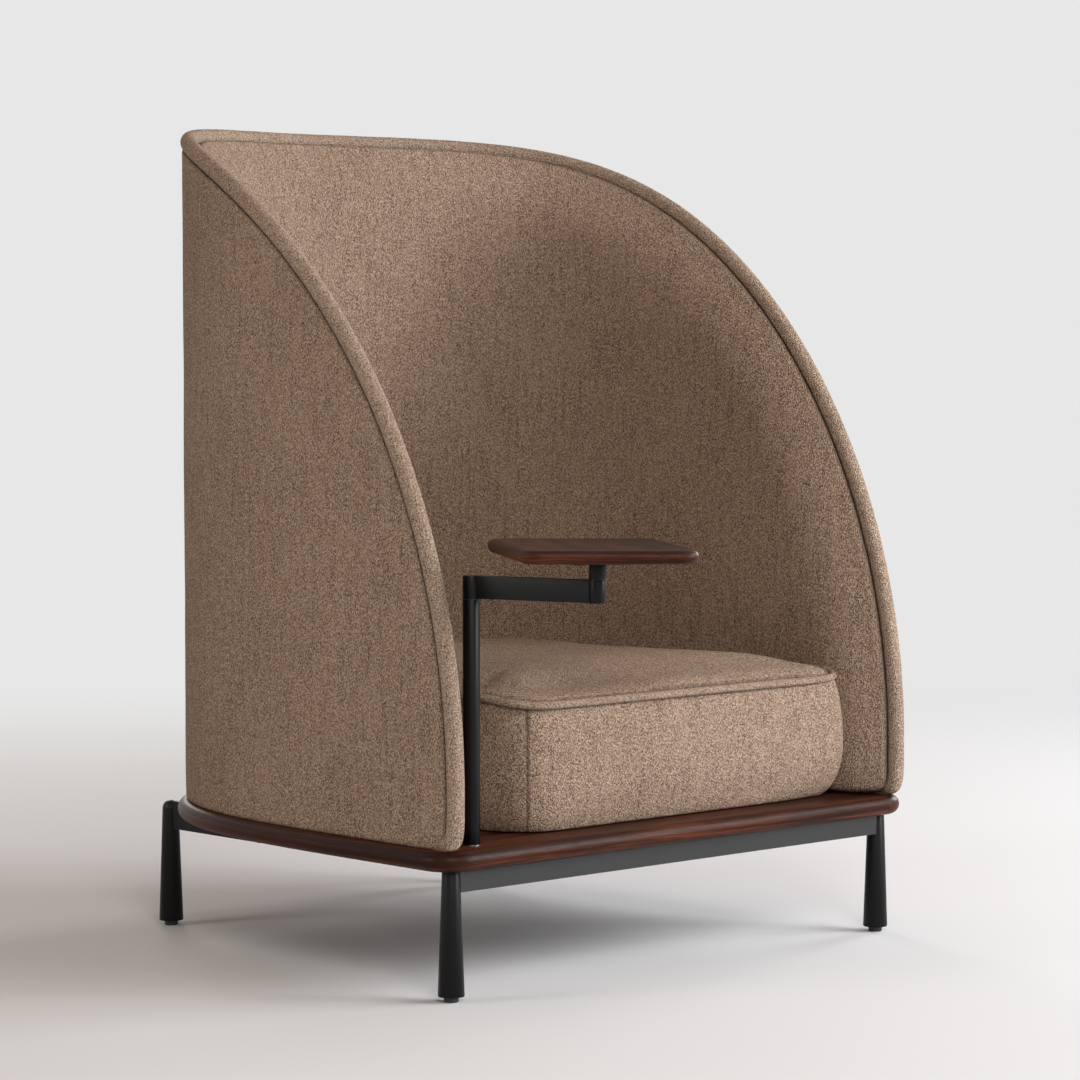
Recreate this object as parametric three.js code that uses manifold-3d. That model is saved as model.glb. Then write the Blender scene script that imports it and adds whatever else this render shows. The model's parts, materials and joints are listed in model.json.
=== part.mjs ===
// An upholstered lounge chair: a curved high shell and a box cushion on a wooden deck, carried by a
// steel frame on four tapered legs, with a small swivel table on a post at one front corner.
// Millimetres. X runs to the right as the chair is seen from the front, Y to its back, Z up.
// While the pieces are made, the origin is on the floor midway between the front legs. At the end
// the whole chair is moved so that the origin is under the middle of its bounding box.

import * as THREE from "three";
import { mergeVertices } from "three/addons/utils/BufferGeometryUtils.js";
import Module from "manifold-3d";

const wasm = await Module();
wasm.setup();

// Gaps and overruns that all pieces share
const fitGap = 0.3;
const runningGap = 0.25;
const cutOverrun = 4;

// Deck
const deckUnderside = 191;
const deckThickness = 30;
const deckHalfWidth = 501;
const deckFrontOverhang = 39;
const deckRear = 902;
const deckCornerRadius = 52;

// The plan of the deck and of the shell is one family of curves: straight sides that close in a bow
const sidePower = 4.86;
const bowPower = 1.83;

// Frame
const legSideInset = 44.5;
const legFootRadius = 19.5;
const legTopRadius = 13.2;
const legDomeHeight = 13.5;
const rearLegInset = 169.5;
const rearLegStandoff = 35.5;
const glideRadius = 11;
const glideHeight = 8;
const glideStemRadius = 4.5;
const glideStemLength = 20;
const barHeight = 32;
const barWidth = 20;
const railWidth = 12;
const rearBarSetback = 150;
const gussetRise = 13;
const gussetRun = 60;

// Screws that hold the deck to the frame
const deckScrewRadius = 2.5;
const deckScrewHeadRadius = 4.6;
const deckScrewHeadHeight = 3;
const deckScrewBite = 18;
const railScrewShares = [0.12, 0.5, 0.88];
const barScrewShares = [-0.45, 0.45];

// Shell
const wallSideInset = 28.5;
const wallFrontInset = 11;
const wallRearInset = 15.5;
const rimTop = 1278;
const rimStraight = 85;
const rimOverrun = 16.5;
const rollRadius = 13;
const rollFootHeight = 14;
const rollFootShift = 5;
const rollFootShare = 0.62;
const coreThickness = 10;
const outerPadThickness = 5.4;
const innerPadThickness = 62;
const noseDepth = 27;
const noseReach = 11;
const noseInset = 3;
const noseLip = 4;
const padShoulder = 95;
const shoulderPower = 1.3;

// Bolts that hold the shell to the deck
const shellBoltRadius = 3;
const shellBoltHeadRadius = 6;
const shellBoltHeadHeight = 5;
const shellBoltBite = 45;
const shellBoltShares = [0.09, 0.27, 0.42, 0.58, 0.73, 0.91];

// Cushion
const cushionWallGap = 7;
const cushionSetback = 59;
const cushionFloorGap = 2.5;
const cushionCornerRadius = 20;
const chamferWidth = 113;
const chamferDepth = 345;
const weltRise = 190;
const weltSideLift = 13;
const weltLiftLength = 90;
const weltRadius = 5.5;
const weltInset = 4;
const crownRise = 32;
const crownReach = 150;
const sideTuck = 24;
const weltGroove = 12;
const boardThickness = 8;
const boardInset = 68;
const recessClearance = 6;

// Table post
const postSideInset = 97;
const postFrontInset = 53;
const postRadius = 12.5;
const postWall = 2;
const postTopHeight = 577.6;
const footWasherHeight = 1.2;
const footWasherOverhang = 0.8;
const footPlugHeight = 32;
const footBoltRadius = 4;
const footBoltHeadRadius = 7;
const footBoltHeadHeight = 5.5;
const footBoltRecess = 8;
const pivotPlugHeight = 46;

// Swivel arm
const armLength = 204;
const armHeight = 33;
const armWidth = 12;
const armTurn = -71;
const spindleRadius = 6;
const bushWall = 1.8;
const bushFlange = 0.8;
const boreDepth = 26;
const boreEndGap = 1.5;

// Tabletop and what carries it
const stubLength = 26.3;
const tableLength = 312;
const tableWidth = 248;
const tableThickness = 20;
const tableSkew = 10.7;
const tableTurn = 57.6;
const tableReach = 47;
const tableCornerRadius = 30;
const plateSize = 84;
const plateThickness = 4;
const plateScrewSpacing = 60;
const plateScrewRadius = 2;
const plateScrewHeadRadius = 3.8;
const plateScrewHeadHeight = 2.2;
const plateScrewBite = 11;

// Set screws
const setScrewRadius = 2;
const setScrewLength = 3.4;
const setScrewDrop = 5;
const setScrewTurn = -133;

// Facets
const turnedSides = 28;
const boltSides = 12;
const planSteps = 480;
const rimColumns = 24;
const deckColumns = 26;
const edgeRows = 6;
const rollSides = 10;
const weltSides = 8;
const cornerSteps = 5;
const padRowShares = [0, 0.3, 0.5, 0.65, 0.78, 0.89, 0.96, 1];
const shoulderRowShares = [1, 0.62, 0.3, 0.1, 0.03, 0];

// Finishes
const powderCoat = { color: 0x17181a, roughness: 0.42, metalness: 0.55 };
const crossbarCoat = { color: 0x3a3a3b, roughness: 0.45, metalness: 0.55 };
const walnut = { color: 0x4d2c1f, roughness: 0.38, metalness: 0 };
const cloth = { color: 0x8d7460, roughness: 0.95, metalness: 0 };
const plywood = { color: 0xb58f62, roughness: 0.8, metalness: 0 };
const blackNylon = { color: 0x121212, roughness: 0.6, metalness: 0 };
const zincSteel = { color: 0x8c8f92, roughness: 0.35, metalness: 1 };

// Places that follow from the sizes above
const deckTop = deckUnderside + deckThickness;
const deckFront = -deckFrontOverhang;
const legX = deckHalfWidth - legSideInset;
const rearLegX = deckHalfWidth - rearLegInset;
const barTop = deckUnderside - fitGap;
const barBottom = barTop - barHeight;
const wallHalfWidth = deckHalfWidth - wallSideInset;
const wallFront = deckFront + wallFrontInset;
const wallRear = deckRear - wallRearInset;
const wallBase = deckTop + fitGap;
const rimBase = deckTop + rimStraight;
const rimCentreY = wallRear + rimOverrun;
const padEdge = rollRadius + 2 * fitGap;
const coreHalf = coreThickness / 2;
const outerFace = coreHalf + fitGap + outerPadThickness;
const innerFace = coreHalf + fitGap + innerPadThickness;
const outerEdge = Math.sqrt(padEdge * padEdge - outerFace * outerFace) + fitGap;
const postX = -(deckHalfWidth - postSideInset);
const postY = deckFront + postFrontInset;
const bushRadius = spindleRadius + runningGap + bushWall;
const armBottom = postTopHeight + bushFlange + 2 * fitGap;
const armTop = armBottom + armHeight;
const stubBottom = armTop + bushFlange + 2 * fitGap;
const stubTop = stubBottom + stubLength - plateThickness - fitGap;
const plateBottom = stubTop + fitGap;
const plateTop = plateBottom + plateThickness;
const tableBottom = plateTop + fitGap;

// Closed bodies from rings of points

function skin(rings, closed = false) {
  const count = rings[0].length;
  const vertices = rings.flat().map((p) => [p.x, p.y, p.z]);
  const faces = [];
  const last = closed ? rings.length : rings.length - 1;
  for (let k = 0; k < last; k++) {
    const low = k * count;
    const high = ((k + 1) % rings.length) * count;
    for (let i = 0; i < count; i++) {
      const j = (i + 1) % count;
      faces.push([low + i, low + j, high + j], [low + i, high + j, high + i]);
    }
  }
  if (!closed) {
    addCap(vertices, faces, 0, count, true);
    addCap(vertices, faces, (rings.length - 1) * count, count, false);
  }
  return geometryFrom(vertices, faces);
}

function addCap(vertices, faces, start, count, facesBack) {
  const middle = [0, 0, 0];
  for (let i = 0; i < count; i++) {
    for (let axis = 0; axis < 3; axis++) middle[axis] += vertices[start + i][axis] / count;
  }
  const centre = vertices.push(middle) - 1;
  for (let i = 0; i < count; i++) {
    const a = start + i;
    const b = start + ((i + 1) % count);
    faces.push(facesBack ? [centre, b, a] : [centre, a, b]);
  }
}

function geometryFrom(vertices, faces) {
  const geometry = new THREE.BufferGeometry();
  geometry.setAttribute("position", new THREE.Float32BufferAttribute(vertices.flat(), 3));
  geometry.setIndex(faces.flat());
  geometry.computeVertexNormals();
  return geometry;
}

// A sheet with thickness, from a grid of points on each face
function thickSheet(outer, inner) {
  const columns = outer.length;
  const rows = outer[0].length;
  const vertices = [...outer.flat(), ...inner.flat()].map((p) => [p.x, p.y, p.z]);
  const out = (i, j) => i * rows + j;
  const back = (i, j) => columns * rows + i * rows + j;
  const faces = [];
  const quad = (a, b, c, d) => faces.push([a, b, c], [a, c, d]);
  for (let i = 0; i < columns - 1; i++) {
    for (let j = 0; j < rows - 1; j++) {
      quad(out(i, j), out(i, j + 1), out(i + 1, j + 1), out(i + 1, j));
      quad(back(i, j), back(i + 1, j), back(i + 1, j + 1), back(i, j + 1));
    }
    quad(out(i, 0), out(i + 1, 0), back(i + 1, 0), back(i, 0));
    quad(out(i, rows - 1), back(i, rows - 1), back(i + 1, rows - 1), out(i + 1, rows - 1));
  }
  for (let j = 0; j < rows - 1; j++) {
    quad(out(0, j), back(0, j), back(0, j + 1), out(0, j + 1));
    const end = columns - 1;
    quad(out(end, j), out(end, j + 1), back(end, j + 1), back(end, j));
  }
  return geometryFrom(vertices, faces);
}

// A round section carried along a path, with a radius for each point of the path
function sweep(path, radii, sides, closed = false) {
  const count = path.length;
  const rings = [];
  let across = null;
  for (let k = 0; k < count; k++) {
    const before = path[closed ? (k + count - 1) % count : Math.max(k - 1, 0)];
    const after = path[closed ? (k + 1) % count : Math.min(k + 1, count - 1)];
    const along = after.clone().sub(before).normalize();
    const guide = Math.abs(along.z) < 0.9 ? new THREE.Vector3(0, 0, 1) : new THREE.Vector3(1, 0, 0);
    if (across === null) across = guide;
    across = across.clone().addScaledVector(along, -across.dot(along)).normalize();
    const third = along.clone().cross(across);
    const ring = [];
    for (let i = 0; i < sides; i++) {
      const angle = (2 * Math.PI * i) / sides;
      const point = path[k].clone();
      point.addScaledVector(across, radii[k] * Math.cos(angle));
      point.addScaledVector(third, radii[k] * Math.sin(angle));
      ring.push(point);
    }
    rings.push(ring);
  }
  return skin(rings, closed);
}

// A turned piece about the Z axis: its profile is a list of radius and height, from the bottom up
function turned(profile, sides = turnedSides) {
  const points = profile.map(([radius, height]) => new THREE.Vector2(radius, height));
  const geometry = new THREE.LatheGeometry(points, sides);
  geometry.rotateX(Math.PI / 2);
  return geometry;
}

function rod(radius, low, high, sides = turnedSides) {
  return turned([[0, low], [radius, low], [radius, high], [0, high]], sides);
}

// A screw or bolt that points up: head below, shank above
function fastener(headRadius, headHeight, shankRadius, shankTop) {
  const profile = [[0, -headHeight], [headRadius, -headHeight], [headRadius, 0], [shankRadius, 0]];
  profile.push([shankRadius, shankTop], [0, shankTop]);
  return turned(profile, boltSides);
}

function box(sizeX, sizeY, sizeZ, x, y, z) {
  return new THREE.BoxGeometry(sizeX, sizeY, sizeZ).translate(x, y, z);
}

// Cuts and joins

function solidOf(geometry) {
  const bare = new THREE.BufferGeometry();
  const source = geometry.index ? geometry.toNonIndexed() : geometry;
  bare.setAttribute("position", source.getAttribute("position"));
  const merged = mergeVertices(bare);
  const vertProperties = merged.getAttribute("position").array;
  const triVerts = new Uint32Array(merged.index.array);
  return new wasm.Manifold(new wasm.Mesh({ numProp: 3, vertProperties, triVerts }));
}

function geometryOf(solid) {
  const result = solid.getMesh();
  const geometry = new THREE.BufferGeometry();
  geometry.setAttribute("position", new THREE.BufferAttribute(result.vertProperties, 3));
  geometry.setIndex(new THREE.BufferAttribute(result.triVerts, 1));
  geometry.computeVertexNormals();
  return geometry;
}

function cut(geometry, tools) {
  const rest = tools.reduce((solid, tool) => solid.subtract(solidOf(tool)), solidOf(geometry));
  return geometryOf(rest);
}

function join(geometries) {
  const [first, ...others] = geometries.map(solidOf);
  return geometryOf(others.reduce((solid, other) => solid.add(other), first));
}

// Plan curves

// Half of the width of a plan curve at a depth between its front and its rear
function halfWidthAt(y, halfWidth, front, rear) {
  const share = THREE.MathUtils.clamp((y - front) / (rear - front), 0, 1);
  return halfWidth * (1 - share ** sidePower) ** (1 / bowPower);
}

function depthAt(x, halfWidth, front, rear) {
  return front + (rear - front) * (1 - (x / halfWidth) ** bowPower) ** (1 / sidePower);
}

// The right half of a plan curve, from its front to the middle of its rear
function halfPlan(halfWidth, front, rear, steps) {
  const points = [];
  for (let i = 0; i <= steps; i++) {
    const angle = (Math.PI / 2) * (i / steps);
    const x = i === steps ? 0 : halfWidth * Math.cos(angle) ** (2 / bowPower);
    points.push(new THREE.Vector2(x, front + (rear - front) * Math.sin(angle) ** (2 / sidePower)));
  }
  return points;
}

function evenly(points, steps) {
  const lengths = [0];
  for (let i = 1; i < points.length; i++) {
    lengths.push(lengths[i - 1] + points[i].distanceTo(points[i - 1]));
  }
  const total = lengths[lengths.length - 1];
  const result = [];
  let k = 0;
  for (let i = 0; i <= steps; i++) {
    const target = (total * i) / steps;
    while (k < points.length - 2 && lengths[k + 1] < target) k++;
    const share = (target - lengths[k]) / (lengths[k + 1] - lengths[k]);
    result.push(points[k].clone().lerp(points[k + 1], Math.min(share, 1)));
  }
  return result;
}

// An outline moved inwards along its own normals
function inset(outline, distance) {
  const count = outline.length;
  return outline.map((point, i) => {
    const before = outline[(i + count - 1) % count];
    const after = outline[(i + 1) % count];
    const along = after.clone().sub(before).normalize();
    return new THREE.Vector2(point.x - along.y * distance, point.y + along.x * distance);
  });
}

function level(outline, z) {
  return outline.map((p) => new THREE.Vector3(p.x, p.y, z));
}

// A board with a fully rounded edge
function roundedBoard(outline, bottom, thickness) {
  const radius = thickness / 2;
  const rings = [];
  for (let k = 0; k <= edgeRows; k++) {
    const angle = Math.PI * (k / edgeRows - 0.5);
    const height = bottom + radius + radius * Math.sin(angle);
    rings.push(level(inset(outline, radius * (1 - Math.cos(angle))), height));
  }
  return skin(rings);
}

function arc(centreX, centreY, radius, from, to) {
  const points = [];
  for (let i = 0; i <= cornerSteps; i++) {
    const angle = THREE.MathUtils.degToRad(from + ((to - from) * i) / cornerSteps);
    const x = centreX + radius * Math.cos(angle);
    points.push(new THREE.Vector2(x, centreY + radius * Math.sin(angle)));
  }
  return points;
}

// Shell wall: a vertical surface over the wall's plan, laid out flat as distance along and height

const wallPlan = (() => {
  const right = halfPlan(wallHalfWidth, wallFront, wallRear, planSteps);
  const left = right.slice(0, -1).map((p) => new THREE.Vector2(-p.x, p.y));
  const points = [...left, ...right.reverse()];
  const along = [0];
  for (let i = 1; i < points.length; i++) {
    along.push(along[i - 1] + points[i].distanceTo(points[i - 1]));
  }
  return { points, along, length: along[along.length - 1] };
})();

// The point at a distance along the wall, moved out by an offset, at a height
function wallPoint(distance, offset, height) {
  const { points, along } = wallPlan;
  let low = 0;
  let high = along.length - 1;
  while (high - low > 1) {
    const middle = (low + high) >> 1;
    if (along[middle] <= distance) low = middle;
    else high = middle;
  }
  const share = (distance - along[low]) / (along[high] - along[low]);
  const point = points[low].clone().lerp(points[high], share);
  const from = points[Math.max(low - 1, 0)];
  const to = points[Math.min(high + 1, points.length - 1)];
  const direction = to.clone().sub(from).normalize();
  return new THREE.Vector3(point.x - direction.y * offset, point.y + direction.x * offset, height);
}

// The rim rises from the front in a quarter of an ellipse and is highest at the back
function rimHeight(distance) {
  const y = wallPoint(distance, 0, 0).y;
  const share = Math.min((rimCentreY - y) / (rimCentreY - wallFront), 1);
  return rimBase + (rimTop - rimBase) * Math.sqrt(1 - share * share);
}

// The flat rim curve, evenly spaced along its own length
const flatRim = (() => {
  const half = [];
  for (let i = 0; i <= planSteps; i++) {
    const distance = (wallPlan.length / 2) * (i / planSteps) ** 2;
    half.push(new THREE.Vector2(distance, rimHeight(distance)));
  }
  const left = evenly(half, rimColumns);
  left[0].set(0, rimBase);
  const right = left.slice(0, -1).reverse();
  return [...left, ...right.map((p) => new THREE.Vector2(wallPlan.length - p.x, p.y))];
})();

function distanceToRim(distance, height) {
  const point = new THREE.Vector2(distance, height);
  const corners = [new THREE.Vector2(0, wallBase), ...flatRim, new THREE.Vector2(wallPlan.length, wallBase)];
  let least = Infinity;
  for (let i = 1; i < corners.length; i++) {
    const edge = corners[i].clone().sub(corners[i - 1]);
    const from = point.clone().sub(corners[i - 1]);
    const share = THREE.MathUtils.clamp(from.dot(edge) / edge.lengthSq(), 0, 1);
    least = Math.min(least, from.addScaledVector(edge, -share).length());
  }
  return least;
}

// The height at which a column of the wall comes within a reach of the rim
function columnTop(distance, reach) {
  let low = wallBase;
  let high = rimHeight(distance);
  for (let i = 0; i < 40; i++) {
    const middle = (low + high) / 2;
    if (distanceToRim(distance, middle) > reach) low = middle;
    else high = middle;
  }
  return low;
}

// Heights of a column's rows: shares of its height, raised to crowd the shoulder and the nose
function rowHeights(distance, edge) {
  const top = columnTop(distance, edge);
  const reaches = shoulderRowShares.map((share) => edge + (padShoulder - edge) * share);
  const crowded = reaches.map((reach) => columnTop(distance, reach));
  const lift = padRowShares.length - crowded.length;
  return padRowShares.map((share, j) => {
    const plain = wallBase + (top - wallBase) * share;
    return j < lift ? plain : Math.max(plain, crowded[j - lift]);
  });
}

// One face of a layer of the wall, up to an edge beside the rim. Its offset is a function of reach.
function wallFace(edge, offset) {
  const start = edge + fitGap;
  const span = wallPlan.length - 2 * start;
  return flatRim.map((corner) => {
    const distance = start + (corner.x / wallPlan.length) * span;
    const heights = rowHeights(distance, edge);
    return heights.map((height) => {
      return wallPoint(distance, offset(distanceToRim(distance, height)), height);
    });
  });
}

function shellBoltPlaces() {
  return shellBoltShares.map((share) => wallPoint(share * wallPlan.length, 0, deckUnderside));
}

function shellCore() {
  const outer = wallFace(padEdge + fitGap, () => coreHalf);
  const sheet = thickSheet(outer, wallFace(padEdge + fitGap, () => -coreHalf));
  const radius = shellBoltRadius + fitGap;
  const depth = shellBoltBite + fitGap;
  const holes = shellBoltPlaces().map((place) => {
    const hole = rod(radius, deckThickness - cutOverrun, deckThickness + fitGap + depth, boltSides);
    return hole.translate(place.x, place.y, place.z);
  });
  return cut(sheet, holes);
}

function shellOuterPad() {
  const outer = wallFace(outerEdge, () => outerFace);
  return thickSheet(outer, wallFace(padEdge, () => coreHalf + fitGap));
}

// The inner padding starts with a round nose beside the roll and swells to its full depth over
// the shoulder
function innerDepth(reach) {
  const start = rollRadius + noseLip;
  if (reach < noseReach) {
    const share = Math.max(reach - noseInset, 0) / (noseReach - noseInset);
    return start + (noseDepth - start) * Math.sqrt(1 - (1 - share) ** 2);
  }
  const share = Math.min((reach - noseReach) / (padShoulder - noseReach), 1);
  return noseDepth + (innerFace - noseDepth) * (1 - (1 - share) ** shoulderPower);
}

function shellInnerPad() {
  const back = wallFace(padEdge, () => -(coreHalf + fitGap));
  return thickSheet(back, wallFace(noseInset, (reach) => -innerDepth(reach)));
}

// The thick roll that finishes the rim, with softened feet on the deck
function rimRoll() {
  const path = [];
  const radii = [];
  const addPoint = (distance, height, radius) => {
    path.push(wallPoint(distance, 0, height));
    radii.push(radius);
  };
  const foot = wallBase + rollFootHeight;
  const footRadius = rollRadius * rollFootShare;
  addPoint(rollFootShift, wallBase, footRadius);
  addPoint(0, foot, rollRadius);
  for (const corner of flatRim) addPoint(corner.x, corner.y, rollRadius);
  addPoint(wallPlan.length, foot, rollRadius);
  addPoint(wallPlan.length - rollFootShift, wallBase, footRadius);
  return sweep(path, radii, rollSides);
}

// Deck

function deckOutline() {
  const radius = deckCornerRadius;
  const side = halfPlan(deckHalfWidth, deckFront, deckRear, planSteps);
  const right = evenly(side.filter((p) => p.y > deckFront + radius), deckColumns);
  const left = right.slice(0, -1).reverse().map((p) => new THREE.Vector2(-p.x, p.y));
  const frontRight = arc(deckHalfWidth - radius, deckFront + radius, radius, -90, 0);
  const frontLeft = arc(radius - deckHalfWidth, deckFront + radius, radius, 180, 270);
  return [...frontRight.slice(0, -1), ...right, ...left, ...frontLeft.slice(1)];
}

function seatDeck() {
  const board = roundedBoard(deckOutline(), deckUnderside, deckThickness);
  const tools = shellBoltPlaces().map((place) => {
    const hole = rod(shellBoltRadius + fitGap, -cutOverrun, deckThickness + cutOverrun, boltSides);
    return hole.translate(place.x, place.y, deckUnderside);
  });
  const through = rod(footBoltRadius + fitGap, -cutOverrun, deckThickness + cutOverrun, boltSides);
  tools.push(through.translate(postX, postY, deckUnderside));
  const recess = rod(footBoltHeadRadius + 2 * fitGap, -cutOverrun, footBoltRecess);
  tools.push(recess.translate(postX, postY, deckUnderside));
  for (const { x, y } of [...railScrewPlaces(), ...barScrewPlaces()]) {
    const pilot = rod(deckScrewRadius + fitGap, -cutOverrun, deckScrewBite + 2 * fitGap, boltSides);
    tools.push(pilot.translate(x, y, deckUnderside));
  }
  return cut(board, tools);
}

// Frame

const rearLegY = depthAt(rearLegX, deckHalfWidth, deckFront, deckRear) + rearLegStandoff;
const railFront = barWidth / 2 + fitGap;
const rearBarY = rearLegY - rearBarSetback;

function legRadiusAt(height) {
  const share = (height - glideHeight) / (barTop - glideHeight);
  return legFootRadius + (legTopRadius - legFootRadius) * share;
}

function leg(topProfile) {
  const bore = glideStemRadius + fitGap;
  const boreTop = glideHeight + glideStemLength + fitGap;
  const profile = [[0, boreTop], [bore, boreTop], [bore, glideHeight + fitGap]];
  profile.push([legFootRadius, glideHeight + fitGap], ...topProfile);
  return turned(profile);
}

function frontLeg() {
  return leg([[legTopRadius, barTop], [0, barTop]]);
}

// The rear legs stand clear of the deck and end in a dome
function rearLeg() {
  const dome = [];
  for (let i = 0; i <= cornerSteps; i++) {
    const angle = (Math.PI / 2) * (i / cornerSteps);
    const radius = i === cornerSteps ? 0 : legTopRadius * Math.cos(angle);
    dome.push([radius, barTop + legDomeHeight * Math.sin(angle)]);
  }
  return leg(dome);
}

function glide() {
  const stemTop = glideHeight + glideStemLength;
  const profile = [[0, 0], [glideRadius, 0], [glideRadius, glideHeight], [glideStemRadius, glideHeight]];
  profile.push([glideStemRadius, stemTop], [0, stemTop]);
  return turned(profile);
}

// What a bar gives up to the leg that it is welded to
function legClearance(x, y) {
  const low = barBottom - cutOverrun;
  const high = deckTop;
  const profile = [[0, low], [legRadiusAt(low) + fitGap, low], [legTopRadius + fitGap, barTop]];
  profile.push([legTopRadius + fitGap, high], [0, high]);
  return turned(profile).translate(x, y, 0);
}

function railScrewPlaces() {
  const places = [];
  for (const side of [-1, 1]) {
    for (const share of railScrewShares) {
      places.push({ x: side * rearLegX, y: railFront + (rearBarY - railFront) * share });
    }
  }
  return places;
}

function barScrewPlaces() {
  return barScrewShares.map((share) => ({ x: share * legX, y: 0 }));
}

function screwClearance({ x, y }) {
  const hole = rod(deckScrewRadius + fitGap, barBottom - cutOverrun, barTop + cutOverrun, boltSides);
  return hole.translate(x, y, 0);
}

function frontCrossbar() {
  const bar = box(2 * legX, barWidth, barHeight, 0, 0, barBottom + barHeight / 2);
  const legs = [legClearance(-legX, 0), legClearance(legX, 0)];
  return cut(bar, [...legs, ...barScrewPlaces().map(screwClearance)]);
}

// A rail runs back under the deck and rises behind the deck's edge, which it follows, to its leg
function sideRail(x) {
  const side = new THREE.Shape();
  side.moveTo(railFront, barBottom);
  side.lineTo(rearLegY, barBottom);
  side.lineTo(rearLegY, deckUnderside + gussetRise);
  side.lineTo(rearLegY - gussetRun, deckUnderside + gussetRise);
  side.lineTo(rearLegY - gussetRun, barTop);
  side.lineTo(railFront, barTop);
  const bar = new THREE.ExtrudeGeometry(side, { depth: railWidth, bevelEnabled: false });
  bar.rotateX(Math.PI / 2).rotateZ(Math.PI / 2).translate(x - railWidth / 2, 0, 0);
  const deckSpace = roundedBoard(inset(deckOutline(), -fitGap), barTop, deckThickness + 2 * fitGap);
  const screws = railScrewPlaces().filter((place) => place.x === x);
  return cut(bar, [legClearance(x, rearLegY), deckSpace, ...screws.map(screwClearance)]);
}

function rearCrossbar() {
  const length = 2 * (rearLegX - railWidth / 2 - fitGap);
  return box(length, barWidth, barHeight, 0, rearBarY, barBottom + barHeight / 2);
}

// Cushion

const cushionOffset = innerFace + cushionWallGap;
const cushionHalfWidth = wallHalfWidth - cushionOffset;
const cushionFront = deckFront + cushionSetback;
const cushionBottom = deckTop + cushionFloorGap;
const cushionMiddle = new THREE.Vector2(0, (cushionFront + wallRear - cushionOffset) / 2);

// The front left corner of the cushion is cut off in a long chamfer that leaves room for the post
function cushionOutline() {
  const radius = cushionCornerRadius;
  const cornerX = -cushionHalfWidth + chamferWidth;
  const chamferEnd = cushionFront + chamferDepth;
  const outline = [];
  const frontSteps = 9;
  for (let i = 0; i < frontSteps; i++) {
    const share = i / frontSteps;
    const x = cornerX + (cushionHalfWidth - radius - cornerX) * share;
    outline.push(new THREE.Vector2(x, cushionFront));
  }
  outline.push(...arc(cushionHalfWidth - radius, cushionFront + radius, radius, -90, 0));
  const wall = [];
  for (let i = 0; i <= planSteps; i++) {
    const point = wallPoint(wallPlan.length * (1 - i / planSteps), -cushionOffset, 0);
    const isSide = point.y > (point.x > 0 ? cushionFront + radius : chamferEnd);
    if (isSide) wall.push(new THREE.Vector2(point.x, point.y));
  }
  outline.push(...evenly(wall, 28).slice(1));
  const end = outline[outline.length - 1];
  const chamferSteps = 7;
  for (let i = 1; i < chamferSteps; i++) {
    outline.push(end.clone().lerp(outline[0], i / chamferSteps));
  }
  return outline;
}

// A point of the cushion's outline moved towards the middle of the cushion
function drawnIn(point, distance) {
  const towards = cushionMiddle.clone().sub(point).normalize();
  return point.clone().addScaledVector(towards, distance);
}

// The welt dips along the front edge and runs level along the sides and the back
function weltHeightAt(point) {
  const share = THREE.MathUtils.clamp((point.y - cushionFront) / weltLiftLength, 0, 1);
  return deckTop + weltRise + weltSideLift * share * share * (3 - 2 * share);
}

// Height and inset of the side, as shares of the rise to the welt and of the tuck
const cushionSideShares = [[0, 1], [0.02, 0.6], [0.07, 0.28], [0.18, 0.06], [0.4, 0], [0.66, 0.02], [0.86, 0.15]];

// Height and inset of the top, as shares of the crown's rise and reach
const cushionTopShares = [[0.18, 0.04], [0.48, 0.17], [0.74, 0.36], [0.91, 0.62], [0.98, 1]];

function seatCushion() {
  const outline = cushionOutline();
  const ring = (distance, height) =>
    outline.map((point) => {
      const moved = drawnIn(point, distance);
      return new THREE.Vector3(moved.x, moved.y, height(point));
    });
  const recessTop = deckTop + 2 * fitGap + boardThickness + fitGap;
  const recess = boardInset - recessClearance;
  const rings = [ring(recess, () => recessTop), ring(recess, () => cushionBottom)];
  for (const [heightShare, insetShare] of cushionSideShares) {
    const height = (point) => cushionBottom + (weltHeightAt(point) - cushionBottom) * heightShare;
    rings.push(ring(sideTuck * insetShare, height));
  }
  rings.push(ring(weltGroove - weltInset, (point) => weltHeightAt(point) - weltRadius - 2 * fitGap));
  rings.push(ring(weltGroove + fitGap, weltHeightAt));
  const crownTop = deckTop + weltRise + crownRise;
  for (const [heightShare, insetShare] of cushionTopShares) {
    const height = (point) => {
      const start = weltHeightAt(point);
      return start + (crownTop - start) * heightShare;
    };
    rings.push(ring(weltGroove + (crownReach - weltGroove) * insetShare, height));
  }
  return skin(rings);
}

function cushionWelt() {
  const path = cushionOutline().map((point) => {
    const moved = drawnIn(point, weltInset);
    return new THREE.Vector3(moved.x, moved.y, weltHeightAt(point));
  });
  return sweep(path, path.map(() => weltRadius), weltSides, true);
}

function cushionBaseBoard() {
  const outline = cushionOutline().map((point) => drawnIn(point, boardInset));
  const bottom = deckTop + fitGap;
  return skin([level(outline, bottom), level(outline, bottom + boardThickness)]);
}

// Table post, which turned pieces centre on at their own origin

const postFoot = deckTop + fitGap + footWasherHeight + fitGap;
const postBore = postRadius - postWall;
const plugRadius = postBore - fitGap;

function setScrewHole(radius, height, turn) {
  const length = setScrewLength + cutOverrun;
  const hole = rod(setScrewRadius + fitGap, 0, length, boltSides);
  hole.rotateY(Math.PI / 2).translate(radius - setScrewLength - fitGap, 0, height);
  return hole.rotateZ(THREE.MathUtils.degToRad(turn));
}

function setScrew(radius, height, turn) {
  const screw = rod(setScrewRadius, 0, setScrewLength, boltSides);
  screw.rotateY(Math.PI / 2).translate(radius - setScrewLength, 0, height);
  return screw.rotateZ(THREE.MathUtils.degToRad(turn));
}

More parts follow.
